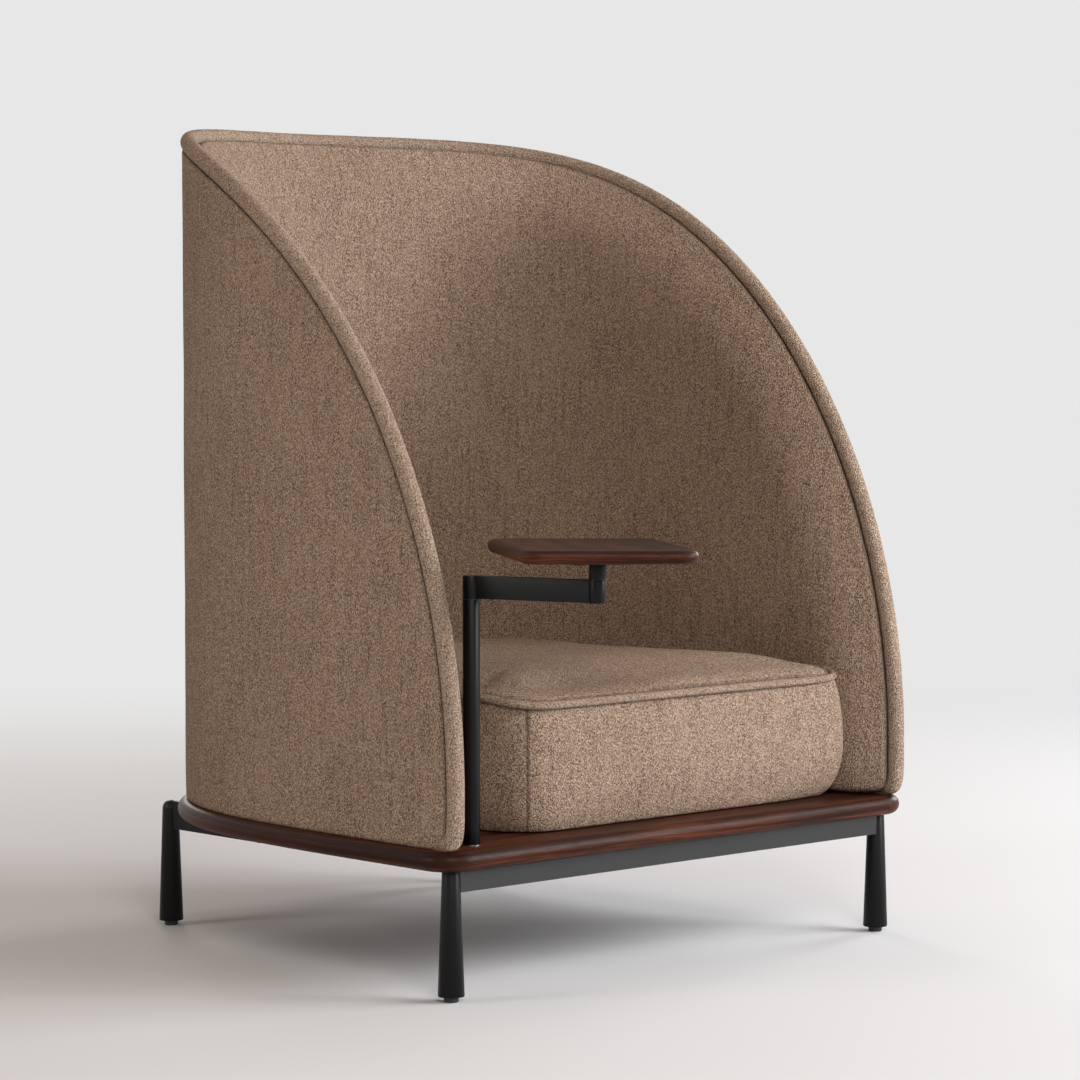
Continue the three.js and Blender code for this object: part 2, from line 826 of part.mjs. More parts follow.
function tablePost() {
  const profile = [[postBore, postFoot], [postRadius, postFoot], [postRadius, postTopHeight]];
  profile.push([postBore, postTopHeight], [postBore, postFoot]);
  return cut(turned(profile), [setScrewHole(postRadius, postTopHeight - setScrewDrop, -90)]);
}

function postFootWasher() {
  const inner = footBoltRadius + fitGap;
  const outer = postRadius + footWasherOverhang;
  const low = deckTop + fitGap;
  const high = low + footWasherHeight;
  return turned([[inner, low], [outer, low], [outer, high], [inner, high], [inner, low]]);
}

// A plug pressed into the foot of the post, threaded for the bolt that comes up through the deck
function postFootPlug() {
  const bore = footBoltRadius + fitGap;
  const top = postFoot + footPlugHeight;
  const profile = [[bore, postFoot], [plugRadius, postFoot], [plugRadius, top], [bore, top]];
  return turned([...profile, [bore, postFoot]]);
}

function postFootBolt() {
  const head = deckUnderside + footBoltRecess - fitGap;
  const top = postFoot + footPlugHeight - fitGap;
  const geometry = fastener(footBoltHeadRadius, footBoltHeadHeight, footBoltRadius, top - head);
  return geometry.translate(0, 0, head);
}

// The plug in the top of the post, whose pin the arm swivels on
function postPivotPlug() {
  const low = postTopHeight - pivotPlugHeight;
  const high = postTopHeight;
  const pinTop = armBottom + boreDepth - boreEndGap;
  const profile = [[0, low], [plugRadius, low], [plugRadius, high]];
  profile.push([spindleRadius, high], [spindleRadius, pinTop], [0, pinTop]);
  const screwHole = setScrewHole(postRadius, postTopHeight - setScrewDrop, -90);
  return cut(turned(profile), [screwHole]);
}

// A flanged bush whose flange lies at a height, with its sleeve above it or below it
function bush(flangeBottom, sleeveEnd) {
  const inner = spindleRadius + runningGap;
  const flangeTop = flangeBottom + bushFlange;
  const outline = [[inner, flangeBottom], [postRadius, flangeBottom], [postRadius, flangeTop]];
  if (sleeveEnd > flangeTop) {
    outline.push([bushRadius, flangeTop], [bushRadius, sleeveEnd], [inner, sleeveEnd]);
    return turned([...outline, [inner, flangeBottom]]);
  }
  const below = [[inner, sleeveEnd], [bushRadius, sleeveEnd], [bushRadius, flangeBottom]];
  const above = [[postRadius, flangeBottom], [postRadius, flangeTop], [inner, flangeTop]];
  return turned([...below, ...above, [inner, sleeveEnd]]);
}

// Swivel arm: a flat bar between two round bosses, bored from below at the post and from above at
// the table. Its own frame has the post on its origin and the bar along X.
function swivelArm() {
  const middle = armBottom + armHeight / 2;
  const nearBoss = rod(postRadius, armBottom, armTop);
  const farBoss = rod(postRadius, armBottom, armTop).translate(armLength, 0, 0);
  const bar = box(armLength, armWidth, armHeight, armLength / 2, 0, middle);
  const bore = bushRadius + fitGap;
  const nearBore = rod(bore, armBottom - cutOverrun, armBottom + boreDepth);
  const farBore = rod(bore, armTop - boreDepth, armTop + cutOverrun).translate(armLength, 0, 0);
  const hole = setScrewHole(postRadius, armTop - setScrewDrop, setScrewTurn - armTurn);
  return cut(join([nearBoss, farBoss, bar]), [nearBore, farBore, hole.translate(armLength, 0, 0)]);
}

// The stub under the table, with the spindle that turns in the arm. Its own origin is on its axis.
function tableStub() {
  const spindleBottom = armTop - boreDepth + boreEndGap;
  const profile = [[0, spindleBottom], [spindleRadius, spindleBottom], [spindleRadius, stubBottom]];
  profile.push([postRadius, stubBottom], [postRadius, stubTop], [0, stubTop]);
  const hole = setScrewHole(postRadius, stubBottom + setScrewDrop, setScrewTurn - tableTurn);
  return cut(turned(profile), [hole]);
}

// Tabletop: a board with a skewed plan, its long sides along its own X axis. The stub carries it
// nearer to one end.
function tableOutline() {
  const skew = THREE.MathUtils.degToRad(tableSkew);
  const radius = tableCornerRadius;
  const halfLength = tableLength / 2 - radius / Math.cos(skew);
  const halfWidth = tableWidth / 2 - radius;
  const outline = [];
  const corners = [[1, -1, -90, -tableSkew], [1, 1, -tableSkew, 90]];
  corners.push([-1, 1, 90, 180 - tableSkew], [-1, -1, 180 - tableSkew, 270]);
  for (const [signX, signY, from, to] of corners) {
    const centreY = signY * halfWidth;
    const centreX = tableReach + signX * halfLength + Math.tan(skew) * centreY;
    outline.push(...arc(centreX, centreY, radius, from, to));
  }
  return outline;
}

function plateScrewPlaces() {
  const half = plateScrewSpacing / 2;
  return [[-half, -half], [half, -half], [half, half], [-half, half]];
}

function tableTop() {
  const board = roundedBoard(tableOutline(), tableBottom, tableThickness);
  const pilots = plateScrewPlaces().map(([x, y]) => {
    const top = tableBottom + plateScrewBite + fitGap;
    return rod(plateScrewRadius + fitGap, tableBottom - cutOverrun, top, boltSides).translate(x, y, 0);
  });
  return cut(board, pilots);
}

function tablePlate() {
  const plate = box(plateSize, plateSize, plateThickness, 0, 0, plateBottom + plateThickness / 2);
  const holes = plateScrewPlaces().map(([x, y]) => {
    const low = plateBottom - cutOverrun;
    return rod(plateScrewRadius + fitGap, low, plateTop + cutOverrun, boltSides).translate(x, y, 0);
  });
  return cut(plate, holes);
}

// The chair

const chair = new THREE.Group();

function place(parent, name, geometry, finish, x = 0, y = 0, z = 0) {
  const mesh = new THREE.Mesh(geometry, new THREE.MeshStandardMaterial(finish));
  mesh.name = name;
  mesh.position.set(x, y, z);
  parent.add(mesh);
}

function addFrame() {
  const corners = [["front_left", -legX, 0], ["front_right", legX, 0]];
  corners.push(["rear_left", -rearLegX, rearLegY], ["rear_right", rearLegX, rearLegY]);
  for (const [corner, x, y] of corners) {
    const geometry = corner.startsWith("front") ? frontLeg() : rearLeg();
    place(chair, `leg_${corner}`, geometry, powderCoat, x, y);
    place(chair, `glide_${corner}`, glide(), blackNylon, x, y);
  }
  place(chair, "front_crossbar", frontCrossbar(), crossbarCoat);
  place(chair, "rear_crossbar", rearCrossbar(), powderCoat);
  place(chair, "side_rail_left", sideRail(-rearLegX), powderCoat);
  place(chair, "side_rail_right", sideRail(rearLegX), powderCoat);
}

function addDeck() {
  place(chair, "seat_deck", seatDeck(), walnut);
  const screwTop = barHeight + fitGap + deckScrewBite;
  [...railScrewPlaces(), ...barScrewPlaces()].forEach(({ x, y }, i) => {
    const screw = fastener(deckScrewHeadRadius, deckScrewHeadHeight, deckScrewRadius, screwTop);
    place(chair, `deck_screw_${i + 1}`, screw, zincSteel, x, y, barBottom - fitGap);
  });
}

function addShell() {
  place(chair, "shell_core", shellCore(), plywood);
  place(chair, "shell_outer_pad", shellOuterPad(), cloth);
  place(chair, "shell_inner_pad", shellInnerPad(), cloth);
  place(chair, "rim_roll", rimRoll(), cloth);
  shellBoltPlaces().forEach((spot, i) => {
    const shank = deckThickness + fitGap + shellBoltBite;
    const bolt = fastener(shellBoltHeadRadius, shellBoltHeadHeight, shellBoltRadius, shank);
    place(chair, `shell_bolt_${i + 1}`, bolt, zincSteel, spot.x, spot.y, deckUnderside - fitGap);
  });
}

function addCushion() {
  place(chair, "cushion_base_board", cushionBaseBoard(), plywood);
  place(chair, "seat_cushion", seatCushion(), cloth);
  place(chair, "cushion_welt", cushionWelt(), cloth);
}

function addPost() {
  const post = new THREE.Group();
  post.position.set(postX, postY, 0);
  place(post, "table_post", tablePost(), powderCoat);
  place(post, "post_foot_washer", postFootWasher(), blackNylon);
  place(post, "post_foot_plug", postFootPlug(), zincSteel);
  place(post, "post_foot_bolt", postFootBolt(), zincSteel);
  place(post, "post_pivot_plug", postPivotPlug(), zincSteel);
  const screwHeight = postTopHeight - setScrewDrop;
  place(post, "post_set_screw", setScrew(postRadius, screwHeight, -90), zincSteel);
  chair.add(post);
  return post;
}

function addArm(post) {
  const arm = new THREE.Group();
  arm.rotation.z = THREE.MathUtils.degToRad(armTurn);
  place(arm, "swivel_arm", swivelArm(), powderCoat);
  const sleeveTop = armBottom + boreDepth - boreEndGap;
  place(arm, "arm_bush", bush(postTopHeight + fitGap, sleeveTop), blackNylon);
  const screw = setScrew(postRadius, armTop - setScrewDrop, setScrewTurn - armTurn);
  place(arm, "arm_set_screw", screw, zincSteel, armLength);
  const sleeveBottom = armTop - boreDepth + boreEndGap;
  place(arm, "stub_bush", bush(armTop + fitGap, sleeveBottom), blackNylon, armLength);
  post.add(arm);
}

function addTable(post) {
  const turn = THREE.MathUtils.degToRad(armTurn);
  const table = new THREE.Group();
  table.position.set(armLength * Math.cos(turn), armLength * Math.sin(turn), 0);
  table.rotation.z = THREE.MathUtils.degToRad(tableTurn);
  place(table, "table_stub", tableStub(), powderCoat);
  const screw = setScrew(postRadius, stubBottom + setScrewDrop, setScrewTurn - tableTurn);
  place(table, "stub_set_screw", screw, zincSteel);
  place(table, "table_plate", tablePlate(), powderCoat);
  place(table, "table_top", tableTop(), walnut);
  plateScrewPlaces().forEach(([x, y], i) => {
    const shank = plateThickness + fitGap + plateScrewBite;
    const plateScrew = fastener(plateScrewHeadRadius, plateScrewHeadHeight, plateScrewRadius, shank);
    place(table, `plate_screw_${i + 1}`, plateScrew, zincSteel, x, y, plateBottom - fitGap);
  });
  post.add(table);
}

addFrame();
addDeck();
addShell();
addCushion();
const tableSupport = addPost();
addArm(tableSupport);
addTable(tableSupport);

// The origin is on the floor under the middle of the chair's bounding box
chair.updateMatrixWorld(true);
const bounds = new THREE.Box3().setFromObject(chair, true);
const middle = bounds.getCenter(new THREE.Vector3());
chair.position.set(-middle.x, -middle.y, -bounds.min.z);

export default chair;
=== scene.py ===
import json
import math
import bpy
import numpy as np
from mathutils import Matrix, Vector, noise


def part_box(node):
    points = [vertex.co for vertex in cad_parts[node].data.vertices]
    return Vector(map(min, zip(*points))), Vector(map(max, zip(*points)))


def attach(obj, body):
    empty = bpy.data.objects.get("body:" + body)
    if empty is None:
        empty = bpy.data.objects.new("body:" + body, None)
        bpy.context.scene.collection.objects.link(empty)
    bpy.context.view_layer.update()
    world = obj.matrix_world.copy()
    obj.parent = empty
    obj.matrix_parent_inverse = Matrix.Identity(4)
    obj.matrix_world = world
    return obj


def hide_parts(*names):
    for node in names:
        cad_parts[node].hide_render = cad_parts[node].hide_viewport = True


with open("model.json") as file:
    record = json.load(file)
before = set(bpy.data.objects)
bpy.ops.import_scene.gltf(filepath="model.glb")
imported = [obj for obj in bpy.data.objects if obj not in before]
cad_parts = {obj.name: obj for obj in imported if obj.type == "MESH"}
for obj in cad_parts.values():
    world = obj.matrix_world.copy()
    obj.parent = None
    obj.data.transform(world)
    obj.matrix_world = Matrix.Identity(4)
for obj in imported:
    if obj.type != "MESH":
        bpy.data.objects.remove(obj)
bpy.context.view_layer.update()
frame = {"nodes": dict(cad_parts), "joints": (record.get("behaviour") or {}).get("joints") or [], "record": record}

deckLow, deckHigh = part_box("seat_deck")
print("frame loaded with", len(frame["nodes"]), "nodes")


# Shader sockets as Python values

def operator(operation, isReflected=False):
    def apply(self, other):
        first, second = (other, self) if isReflected else (self, other)
        return self.graph.add("ShaderNodeMath", {"operation": operation}, {0: first, 1: second})
    return apply


class Wire:
    def __init__(self, graph, socket):
        self.graph = graph
        self.socket = socket

    __add__, __radd__ = operator("ADD"), operator("ADD", True)
    __sub__, __rsub__ = operator("SUBTRACT"), operator("SUBTRACT", True)
    __mul__, __rmul__ = operator("MULTIPLY"), operator("MULTIPLY", True)
    __truediv__, __rtruediv__ = operator("DIVIDE"), operator("DIVIDE", True)


class Graph:
    def __init__(self, name, owner=None):        # the nodes of a new material, or of the world
        self.owner = owner or bpy.data.materials.new(name)
        self.owner.use_nodes = True
        self.tree = self.owner.node_tree
        self.tree.nodes.clear()

    def add(self, kind, settings=None, values=None, output=0):
        node = self.tree.nodes.new(kind)
        for key, value in (settings or {}).items():
            if key == "stops":
                self.setStops(node.color_ramp, value)
            else:
                setattr(node, key, value)
        for key, value in (values or {}).items():
            if isinstance(value, Wire):
                self.tree.links.new(value.socket, node.inputs[key])
            else:
                node.inputs[key].default_value = value
        return Wire(self, node.outputs[output]) if node.outputs else None

    def setStops(self, ramp, stops):
        while len(ramp.elements) < len(stops):
            ramp.elements.new(0.5)
        for element, (place, colour) in zip(ramp.elements, stops):
            element.position = place
            element.color = colour

    def attribute(self, name, output="Vector"):
        return self.add("ShaderNodeAttribute", {"attribute_name": name}, output=output)

    def objectPlace(self):
        return self.add("ShaderNodeTexCoord", output="Object")

    def stretch(self, vector, scale):
        return self.add("ShaderNodeVectorMath", {"operation": "MULTIPLY"}, {0: vector, 1: scale})

    def shift(self, vector, other):
        return self.add("ShaderNodeVectorMath", {"operation": "ADD"}, {0: vector, 1: other})

    def axis(self, vector, output):
        return self.add("ShaderNodeSeparateXYZ", None, {0: vector}, output)

    def speckle(self, vector, scale, detail=2.0, roughness=0.5, output=0):
        if isinstance(scale, tuple):        # one scale for each axis
            vector, scale = self.stretch(vector, scale), 1.0
        values = {"Vector": vector, "Scale": scale, "Detail": detail, "Roughness": roughness}
        return self.add("ShaderNodeTexNoise", None, values, output)

    def stray(self, vector, scale, reach):        # the vector, moved about a little from place to place
        noisy = self.shift(self.speckle(vector, scale, output=1), (-0.5, -0.5, -0.5))
        return self.shift(vector, self.stretch(noisy, reach))

    def fade(self, value, low, high):
        settings = {"interpolation_type": "SMOOTHSTEP"}
        return self.add("ShaderNodeMapRange", settings, {0: value, 1: low, 2: high})

    def ramp(self, value, stops):
        return self.add("ShaderNodeValToRGB", {"stops": stops}, {0: value})

    def mix(self, factor, first, second):
        return self.add("ShaderNodeMix", {"data_type": "RGBA"}, {0: factor, 6: first, 7: second}, 2)

    def bump(self, height, depth, strength):
        return self.add("ShaderNodeBump", None, {"Strength": strength, "Distance": depth, "Height": height})

    def seen(self):        # 1 for rays that show the background, 0 for rays that carry light
        names = ("Is Camera Ray", "Is Glossy Ray", "Is Transmission Ray")
        camera, glossy, clear = (self.add("ShaderNodeLightPath", output=name) for name in names)
        return camera + glossy + clear

    def surface(self, values):
        shader = self.add("ShaderNodeBsdfPrincipled", None, values)
        self.add("ShaderNodeOutputMaterial", None, {"Surface": shader})
        return self.owner


def tint(red, green, blue):        # a colour as it is read off a screen, 0 to 255
    def linear(value):
        value /= 255
        return value / 12.92 if value <= 0.04045 else ((value + 0.055) / 1.055) ** 2.4
    return (linear(red), linear(green), linear(blue), 1.0)


# Upholstery cloth: thick loose yarns, drawn in nubs that stand taller than wide

clothLook = {
    "nubWidth": 0.0017,
    "nubHeight": 0.0028,
    "slant": 0.3,
    "scatter": 0.8,
    "stray": 0.0008,
    # colour of the painted shade in the gaps between the nubs
    "weaveGapShade": tint(36, 25, 18),
    "dark": tint(106, 83, 66),
    "middle": tint(178, 151, 130),
    "light": tint(228, 205, 185),
    "fleck": tint(251, 239, 223),
    "rosy": tint(176, 146, 122),
    "bumpDepth": 0.0040,
    "roughness": 0.86,
    "sheen": 0.03,
    "gloss": 0.08,
}
rollLookPaintedLight = {        # finer on the roll and the piping, and paler there as painted light: the same cloth, lighter where these round cords catch the light
    **clothLook,
    "nubWidth": 0.0015,
    "nubHeight": 0.0026,
    "dark": tint(128, 104, 86),
    "middle": tint(192, 166, 146),
    "light": tint(231, 211, 193),
}
# painted shade along seams and creases: width of the dark line, reach of the darkening behind the piping, and its
# colour
seamShadeLook = {"width": 0.0011, "reach": 0.0178, "shade": tint(62, 46, 35)}


def clothMaterial(name, look):
    graph = Graph(name)
    flat = graph.attribute("weave")        # metres over the flat cloth
    moved = graph.stray(flat, (90, 60, 60), (look["stray"],) * 3)
    across = graph.axis(moved, 0) / look["nubWidth"]
    up = graph.axis(moved, 1) / look["nubHeight"] + across * look["slant"]
    cells = graph.add("ShaderNodeCombineXYZ", None, {0: across, 1: up})
    settings = {"voronoi_dimensions": "2D"}
    values = {"Vector": cells, "Scale": 1.0, "Randomness": look["scatter"]}
    nub = graph.add("ShaderNodeTexVoronoi", settings, values)
    chance = graph.add("ShaderNodeTexVoronoi", settings, values, 1)
    tone, other = graph.axis(chance, 0), graph.axis(chance, 2)
    grain = graph.speckle(cells, 1.15, 1.0)
    fibre = graph.speckle(cells, 2.9)
    streak = graph.speckle(flat, (120, 9, 26), 3.0)
    cloud = graph.speckle(flat, 5.0, 3.0)
    level = tone * 0.34 + fibre * 0.5 + grain * 0.3 + streak * 0.3 + cloud * 0.12 - 0.27
    colour = graph.ramp(level, [(0.26, look["dark"]), (0.5, look["middle"]), (0.74, look["light"])])
    colour = graph.mix(graph.fade(streak, 0.42, 0.62) * 0.3, colour, look["rosy"])
    colour = graph.mix(graph.fade(grain, 0.56, 0.68) * 0.55, colour, look["fleck"])
    # painted shade: the colour darkens in the gaps between the nubs and in a few deeper hollows, which the bump
    # also sinks
    weaveGapShade = graph.fade(nub - grain * 1.2, -0.06, 0.12)
    hollowAndShade = graph.fade(other, 0.84, 0.95) * graph.fade(nub, 0.55, 0.15)
    colour = graph.mix(weaveGapShade * 0.8 + hollowAndShade * 0.45, colour, look["weaveGapShade"])
    # painted shade: the colour darkens in a thin line on each seam and more broadly in the creases beside it, by
    # the seam attribute
    seam = graph.add("ShaderNodeMath", {"operation": "ABSOLUTE"}, {0: graph.attribute("seam", "Fac")})
    seamLineShade = graph.fade(seam, seamShadeLook["width"], seamShadeLook["width"] * 0.2)
    dipAndShade = graph.fade(seam, seamShadeLook["width"] * 5, 0.0)
    colour = graph.mix(seamLineShade * 0.2 + dipAndShade * 0.5, colour, seamShadeLook["shade"])
    height = grain * 0.8 + graph.fade(nub, 0.8, 0.05) * 0.7 + fibre * 0.4 - hollowAndShade * 0.5 - dipAndShade * 0.9
    return graph.surface({
        "Base Color": colour,
        "Roughness": look["roughness"] + fibre * 0.12,
        "Normal": graph.bump(height, look["bumpDepth"], 0.9),
        "Sheen Weight": look["sheen"],
        "Sheen Roughness": 0.5,
        "Sheen Tint": look["light"],
        "Specular IOR Level": look["gloss"],
    })


# Dark walnut under a satin lacquer

walnutLook = {
    "deep": tint(20, 9, 6),
    "middle": tint(52, 25, 16),
    "warm": tint(110, 58, 36),
    "pore": tint(14, 8, 6),
    "bumpDepth": 0.00016,
    "roughness": 0.32,
    "gloss": 0.1,
}


def walnutMaterial(name, look, drift=0.0):
    graph = Graph(name)
    place = graph.attribute("weave")        # metres: along the grain, across it, through the board
    place = graph.shift(place, (drift, drift, 0.0))
    grain = graph.stray(place, (1.3, 3.0, 3.0), (0.0, 0.035, 0.02))
    band = graph.speckle(grain, (1.1, 36.0, 36.0), 3.0, 0.55)
    streak = graph.speckle(grain, (5.0, 240.0, 240.0), 4.0, 0.6)
    hair = graph.speckle(grain, (26.0, 900.0, 900.0))
    patch = graph.speckle(place, (2.2, 6.0, 6.0))
    level = band * 0.5 + streak * 0.42 + hair * 0.16 + patch * 0.3 - 0.2
    colour = graph.ramp(level, [(0.34, look["deep"]), (0.5, look["middle"]), (0.68, look["warm"])])
    pore = graph.fade(graph.speckle(grain, (45.0, 1300.0, 1300.0), 1.0), 0.64, 0.72)
    return graph.surface({
        "Base Color": graph.mix(pore * 0.7, colour, look["pore"]),
        "Roughness": look["roughness"] + streak * 0.14 + pore * 0.1,
        "Normal": graph.bump(streak * 0.25 + hair * 0.2 - pore * 0.7, look["bumpDepth"], 0.55),
        "Specular IOR Level": look["gloss"],
    })


# Satin black powder coat with its fine grain

coatLook = {
    "colour": tint(6, 6, 7),
    "worn": tint(16, 15, 15),
    "grainScale": 1500.0,
    "bumpDepth": 0.00009,
    "roughness": 0.29,
    "gloss": 0.2,
}
barReflectionLook = {        # the flat bars, which are rolled: glossier, and painted lighter to stand in for the floor's reflection on their front faces
    **coatLook,
    "colour": tint(26, 26, 27),
    "worn": tint(38, 37, 36),
    "gloss": 0.5,
}


def coatMaterial(name, look):
    graph = Graph(name)
    place = graph.objectPlace()
    grain = graph.speckle(place, look["grainScale"])
    smudge = graph.speckle(place, 14.0, 4.0)
    scuff = graph.fade(graph.speckle(place, 95.0, 5.0, 0.65), 0.62, 0.74)
    return graph.surface({
        "Base Color": graph.mix(scuff * 0.35, look["colour"], look["worn"]),
        "Roughness": smudge * 0.16 + scuff * 0.12 + look["roughness"],
        "Normal": graph.bump(grain, look["bumpDepth"], 0.5),
        "Specular IOR Level": look["gloss"],
    })


# Hidden and small pieces: two colours, roughness and metallic

plainLooks = {
    "black nylon": (tint(22, 22, 23), tint(38, 38, 39), 0.45, 0.0),
    "black steel": (tint(30, 30, 31), tint(22, 22, 23), 0.32, 0.6),
    "bright steel": (tint(176, 174, 170), tint(140, 139, 136), 0.2, 1.0),
}


def plainMaterial(name):
    graph = Graph(name)
    colour, other, roughness, metal = plainLooks[name]
    place = graph.objectPlace()
    brushed = graph.speckle(place, (400.0, 400.0, 2600.0), 3.0)
    cloud = graph.speckle(place, 60.0, 3.0)
    return graph.surface({
        "Base Color": graph.mix(graph.fade(cloud, 0.35, 0.7), colour, other),
        "Roughness": roughness + brushed * 0.2,
        "Metallic": metal,
        "Normal": graph.bump(brushed, 0.00008, 0.4),
    })


plywoodLook = {"pale": tint(205, 172, 128), "brown": tint(150, 112, 74)}


def plywoodMaterial(name, look):
    graph = Graph(name)
    place = graph.objectPlace()
    streak = graph.speckle(place, (6.0, 80.0, 80.0), 5.0)
    fleck = graph.speckle(place, (90.0, 900.0, 900.0))
    return graph.surface({
        "Base Color": graph.mix(graph.fade(streak, 0.3, 0.7), look["pale"], look["brown"]),
        "Roughness": 0.7 + fleck * 0.2,
        "Normal": graph.bump(streak + fleck * 0.4, 0.0002, 0.5),
    })


shellCloth = clothMaterial("shell cloth", clothLook)
cushionCloth = clothMaterial("cushion cloth", clothLook)
rollClothPaintedLight = clothMaterial("roll cloth painted lighter", rollLookPaintedLight)
deckWalnut = walnutMaterial("deck walnut", walnutLook)
tableWalnut = walnutMaterial("table walnut", walnutLook, 0.83)
powderCoat = coatMaterial("powder coat", coatLook)
barReflectionCoat = coatMaterial("bar coat with painted reflection", barReflectionLook)
blackNylon = plainMaterial("black nylon")
blackSteel = plainMaterial("black steel")
brightSteel = plainMaterial("bright steel")
rawPlywood = plywoodMaterial("raw plywood", plywoodLook)
print("materials made")


# Meshes from rings and grids of points

def placed(name, data):
    thing = bpy.data.objects.new(name, data)
    bpy.context.scene.collection.objects.link(thing)
    return thing


def makePiece(name, points, faces, material, body, nodes=(), slot=None, weave=None, seam=None, sharp=40):
    mesh = bpy.data.meshes.new(name)
    mesh.from_pydata(np.asarray(points, dtype=float).tolist(), [], faces)
    mesh.validate()
    mesh.shade_smooth()
    mesh.set_sharp_from_angle(angle=math.radians(sharp))
    weave = points if weave is None else weave
    layer = mesh.attributes.new("weave", "FLOAT_VECTOR", "POINT")
    layer.data.foreach_set("vector", np.asarray(weave, dtype=np.float32).ravel())
    layer = mesh.attributes.new("seam", "FLOAT", "POINT")        # metres to the nearest sewn seam, or how far a row counts to be from a seam or crease, where the cloth's colour is darkened as painted shade
    seam = np.ones(len(points)) if seam is None else seam
    layer.data.foreach_set("value", np.asarray(seam, dtype=np.float32))
    mesh.materials.append(material)
    piece = placed(name, mesh)
    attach(piece, body)
    if nodes:
        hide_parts(*nodes)
    return piece


def gridFaces(index):        # quads over a grid of point numbers
    corners = [index[:-1, :-1], index[:-1, 1:], index[1:, 1:], index[1:, :-1]]
    return np.stack(corners, axis=-1).reshape(-1, 4).tolist()


def ringFaces(rows, count, closed=False, caps=True):
    index = np.arange(rows * count).reshape(rows, count)
    wrapped = np.column_stack([index, index[:, 0]])
    faces = gridFaces(np.vstack([wrapped, wrapped[:1]]) if closed else wrapped)
    if caps and not closed:
        faces += [index[0][::-1].tolist(), index[-1].tolist()]
    return faces


def ringPiece(name, rings, material, body, closed=False, **extra):
    rings = np.asarray(rings)
    faces = ringFaces(*rings.shape[:2], closed)
    return makePiece(name, rings.reshape(-1, 3), faces, material, body, **extra)


def unit(vectors):
    return vectors / np.linalg.norm(vectors, axis=-1, keepdims=True)


def raised(points, height=0.0):        # flat points, each with its height
    return np.column_stack([points, np.zeros(len(points)) + height])


def lengthsAlong(points, closed=False):
    ends = np.roll(points, -1, axis=0) if closed else points[1:]
    steps = np.linalg.norm(ends - (points if closed else points[:-1]), axis=1)
    return np.concatenate([[0], np.cumsum(steps)])


def resampled(points, shares):
    along = lengthsAlong(points)
    return np.stack([np.interp(shares * along[-1], along, column) for column in points.T], axis=1)


def evenLoop(points, count):        # a loop closed and spaced evenly
    return resampled(np.vstack([points, points[:1]]), np.linspace(0, 1, count, endpoint=False))


def loopInward(points):        # directions into a loop that runs anticlockwise
    heading = unit(np.roll(points, -1, axis=0) - np.roll(points, 1, axis=0))
    return np.stack([-heading[:, 1], heading[:, 0]], axis=1)


def sweptRings(path, radii, sides, closed=False):        # along a path that starts level
    if closed:
        before, after = np.roll(path, 1, axis=0), np.roll(path, -1, axis=0)
    else:
        before, after = np.vstack([path[:1], path[:-1]]), np.vstack([path[1:], path[-1:]])
    angle = np.linspace(0, 2 * np.pi, sides, endpoint=False)
    side = np.array([0.0, 0.0, 1.0])
    rings = []
    for point, ahead, radius in zip(path, unit(after - before), radii):
        side = unit(side - ahead * side.dot(ahead))
        ring = np.outer(np.cos(angle), side) + np.outer(np.sin(angle), np.cross(ahead, side))
        rings.append(point + ring * radius)
    return np.array(rings)


def sweptWeave(path, radii, sides, bias):        # cloth wrapped round a cord
    girth = np.linspace(0, 2 * np.pi, sides, endpoint=False)
    u = np.repeat(lengthsAlong(path), sides)
    v = np.tile(girth, len(path)) * np.repeat(radii, sides)
    cos, sin = math.cos(math.radians(bias)), math.sin(math.radians(bias))
    return np.stack([u * cos + v * sin, v * cos - u * sin, 0 * u], axis=1)


def coonsGrid(bottom, top, left, right):        # a grid of points that fills four edges
    along = lengthsAlong(top)
    up = lengthsAlong(left)
    u = (along / along[-1])[None, :, None]
    v = (up / up[-1])[:, None, None]
    ruled = (1 - v) * bottom[None] + v * top[None] + (1 - u) * left[:, None] + u * right[:, None]
    corners = (1 - u) * (1 - v) * bottom[0] + u * (1 - v) * bottom[-1]
    return ruled - corners - (1 - u) * v * top[0] - u * v * top[-1]


def wobble(points, scale, amount, seed):        # smooth unevenness, the same on every run
    offset = Vector((seed, seed * 1.7, seed * 0.3))
    return np.array([noise.noise(Vector(p) * scale + offset) for p in points]) * amount


# Shell plan and rim, as the solids have them

shellPlan = {
    "sidePower": 4.86,
    "bowPower": 1.83,
    "sideInset": 0.0285,
    "frontInset": 0.011,
    "rearInset": 0.0155,
    "rimTop": 1.278,
    "rimStraight": 0.085,
    "rimOverrun": 0.0165,
    "rimFeet": [0, 0.0012, 0.0028, 0.005, 0.008, 0.012, 0.017, 0.024, 0.032],
    "rimEvenFrom": 0.042,
    "rollRadius": 0.013,
    "innerFace": 0.0673,
    "gap": 0.0006,
    "steps": 900,
}
wallHalfWidth = deckHigh.x - shellPlan["sideInset"]
wallFront = deckLow.y + shellPlan["frontInset"]
wallRear = deckHigh.y - shellPlan["rearInset"]
wallBase = deckHigh.z + shellPlan["gap"]
rimBase = deckHigh.z + shellPlan["rimStraight"]


def planHalf(halfWidth, front, rear, steps):        # right half of a plan, from the front to the middle
    angle = np.linspace(0, np.pi / 2, steps)
    x = halfWidth * np.clip(np.cos(angle), 0, 1) ** (2 / shellPlan["bowPower"])
    y = front + (rear - front) * np.sin(angle) ** (2 / shellPlan["sidePower"])
    x[-1] = 0
    return np.stack([x, y], axis=1)


def makeWallPlan():
    right = planHalf(wallHalfWidth, wallFront, wallRear, shellPlan["steps"])
    whole = np.vstack([right * (-1, 1), right[::-1][1:]])
    return resampled(whole, np.linspace(0, 1, 2 * shellPlan["steps"]))


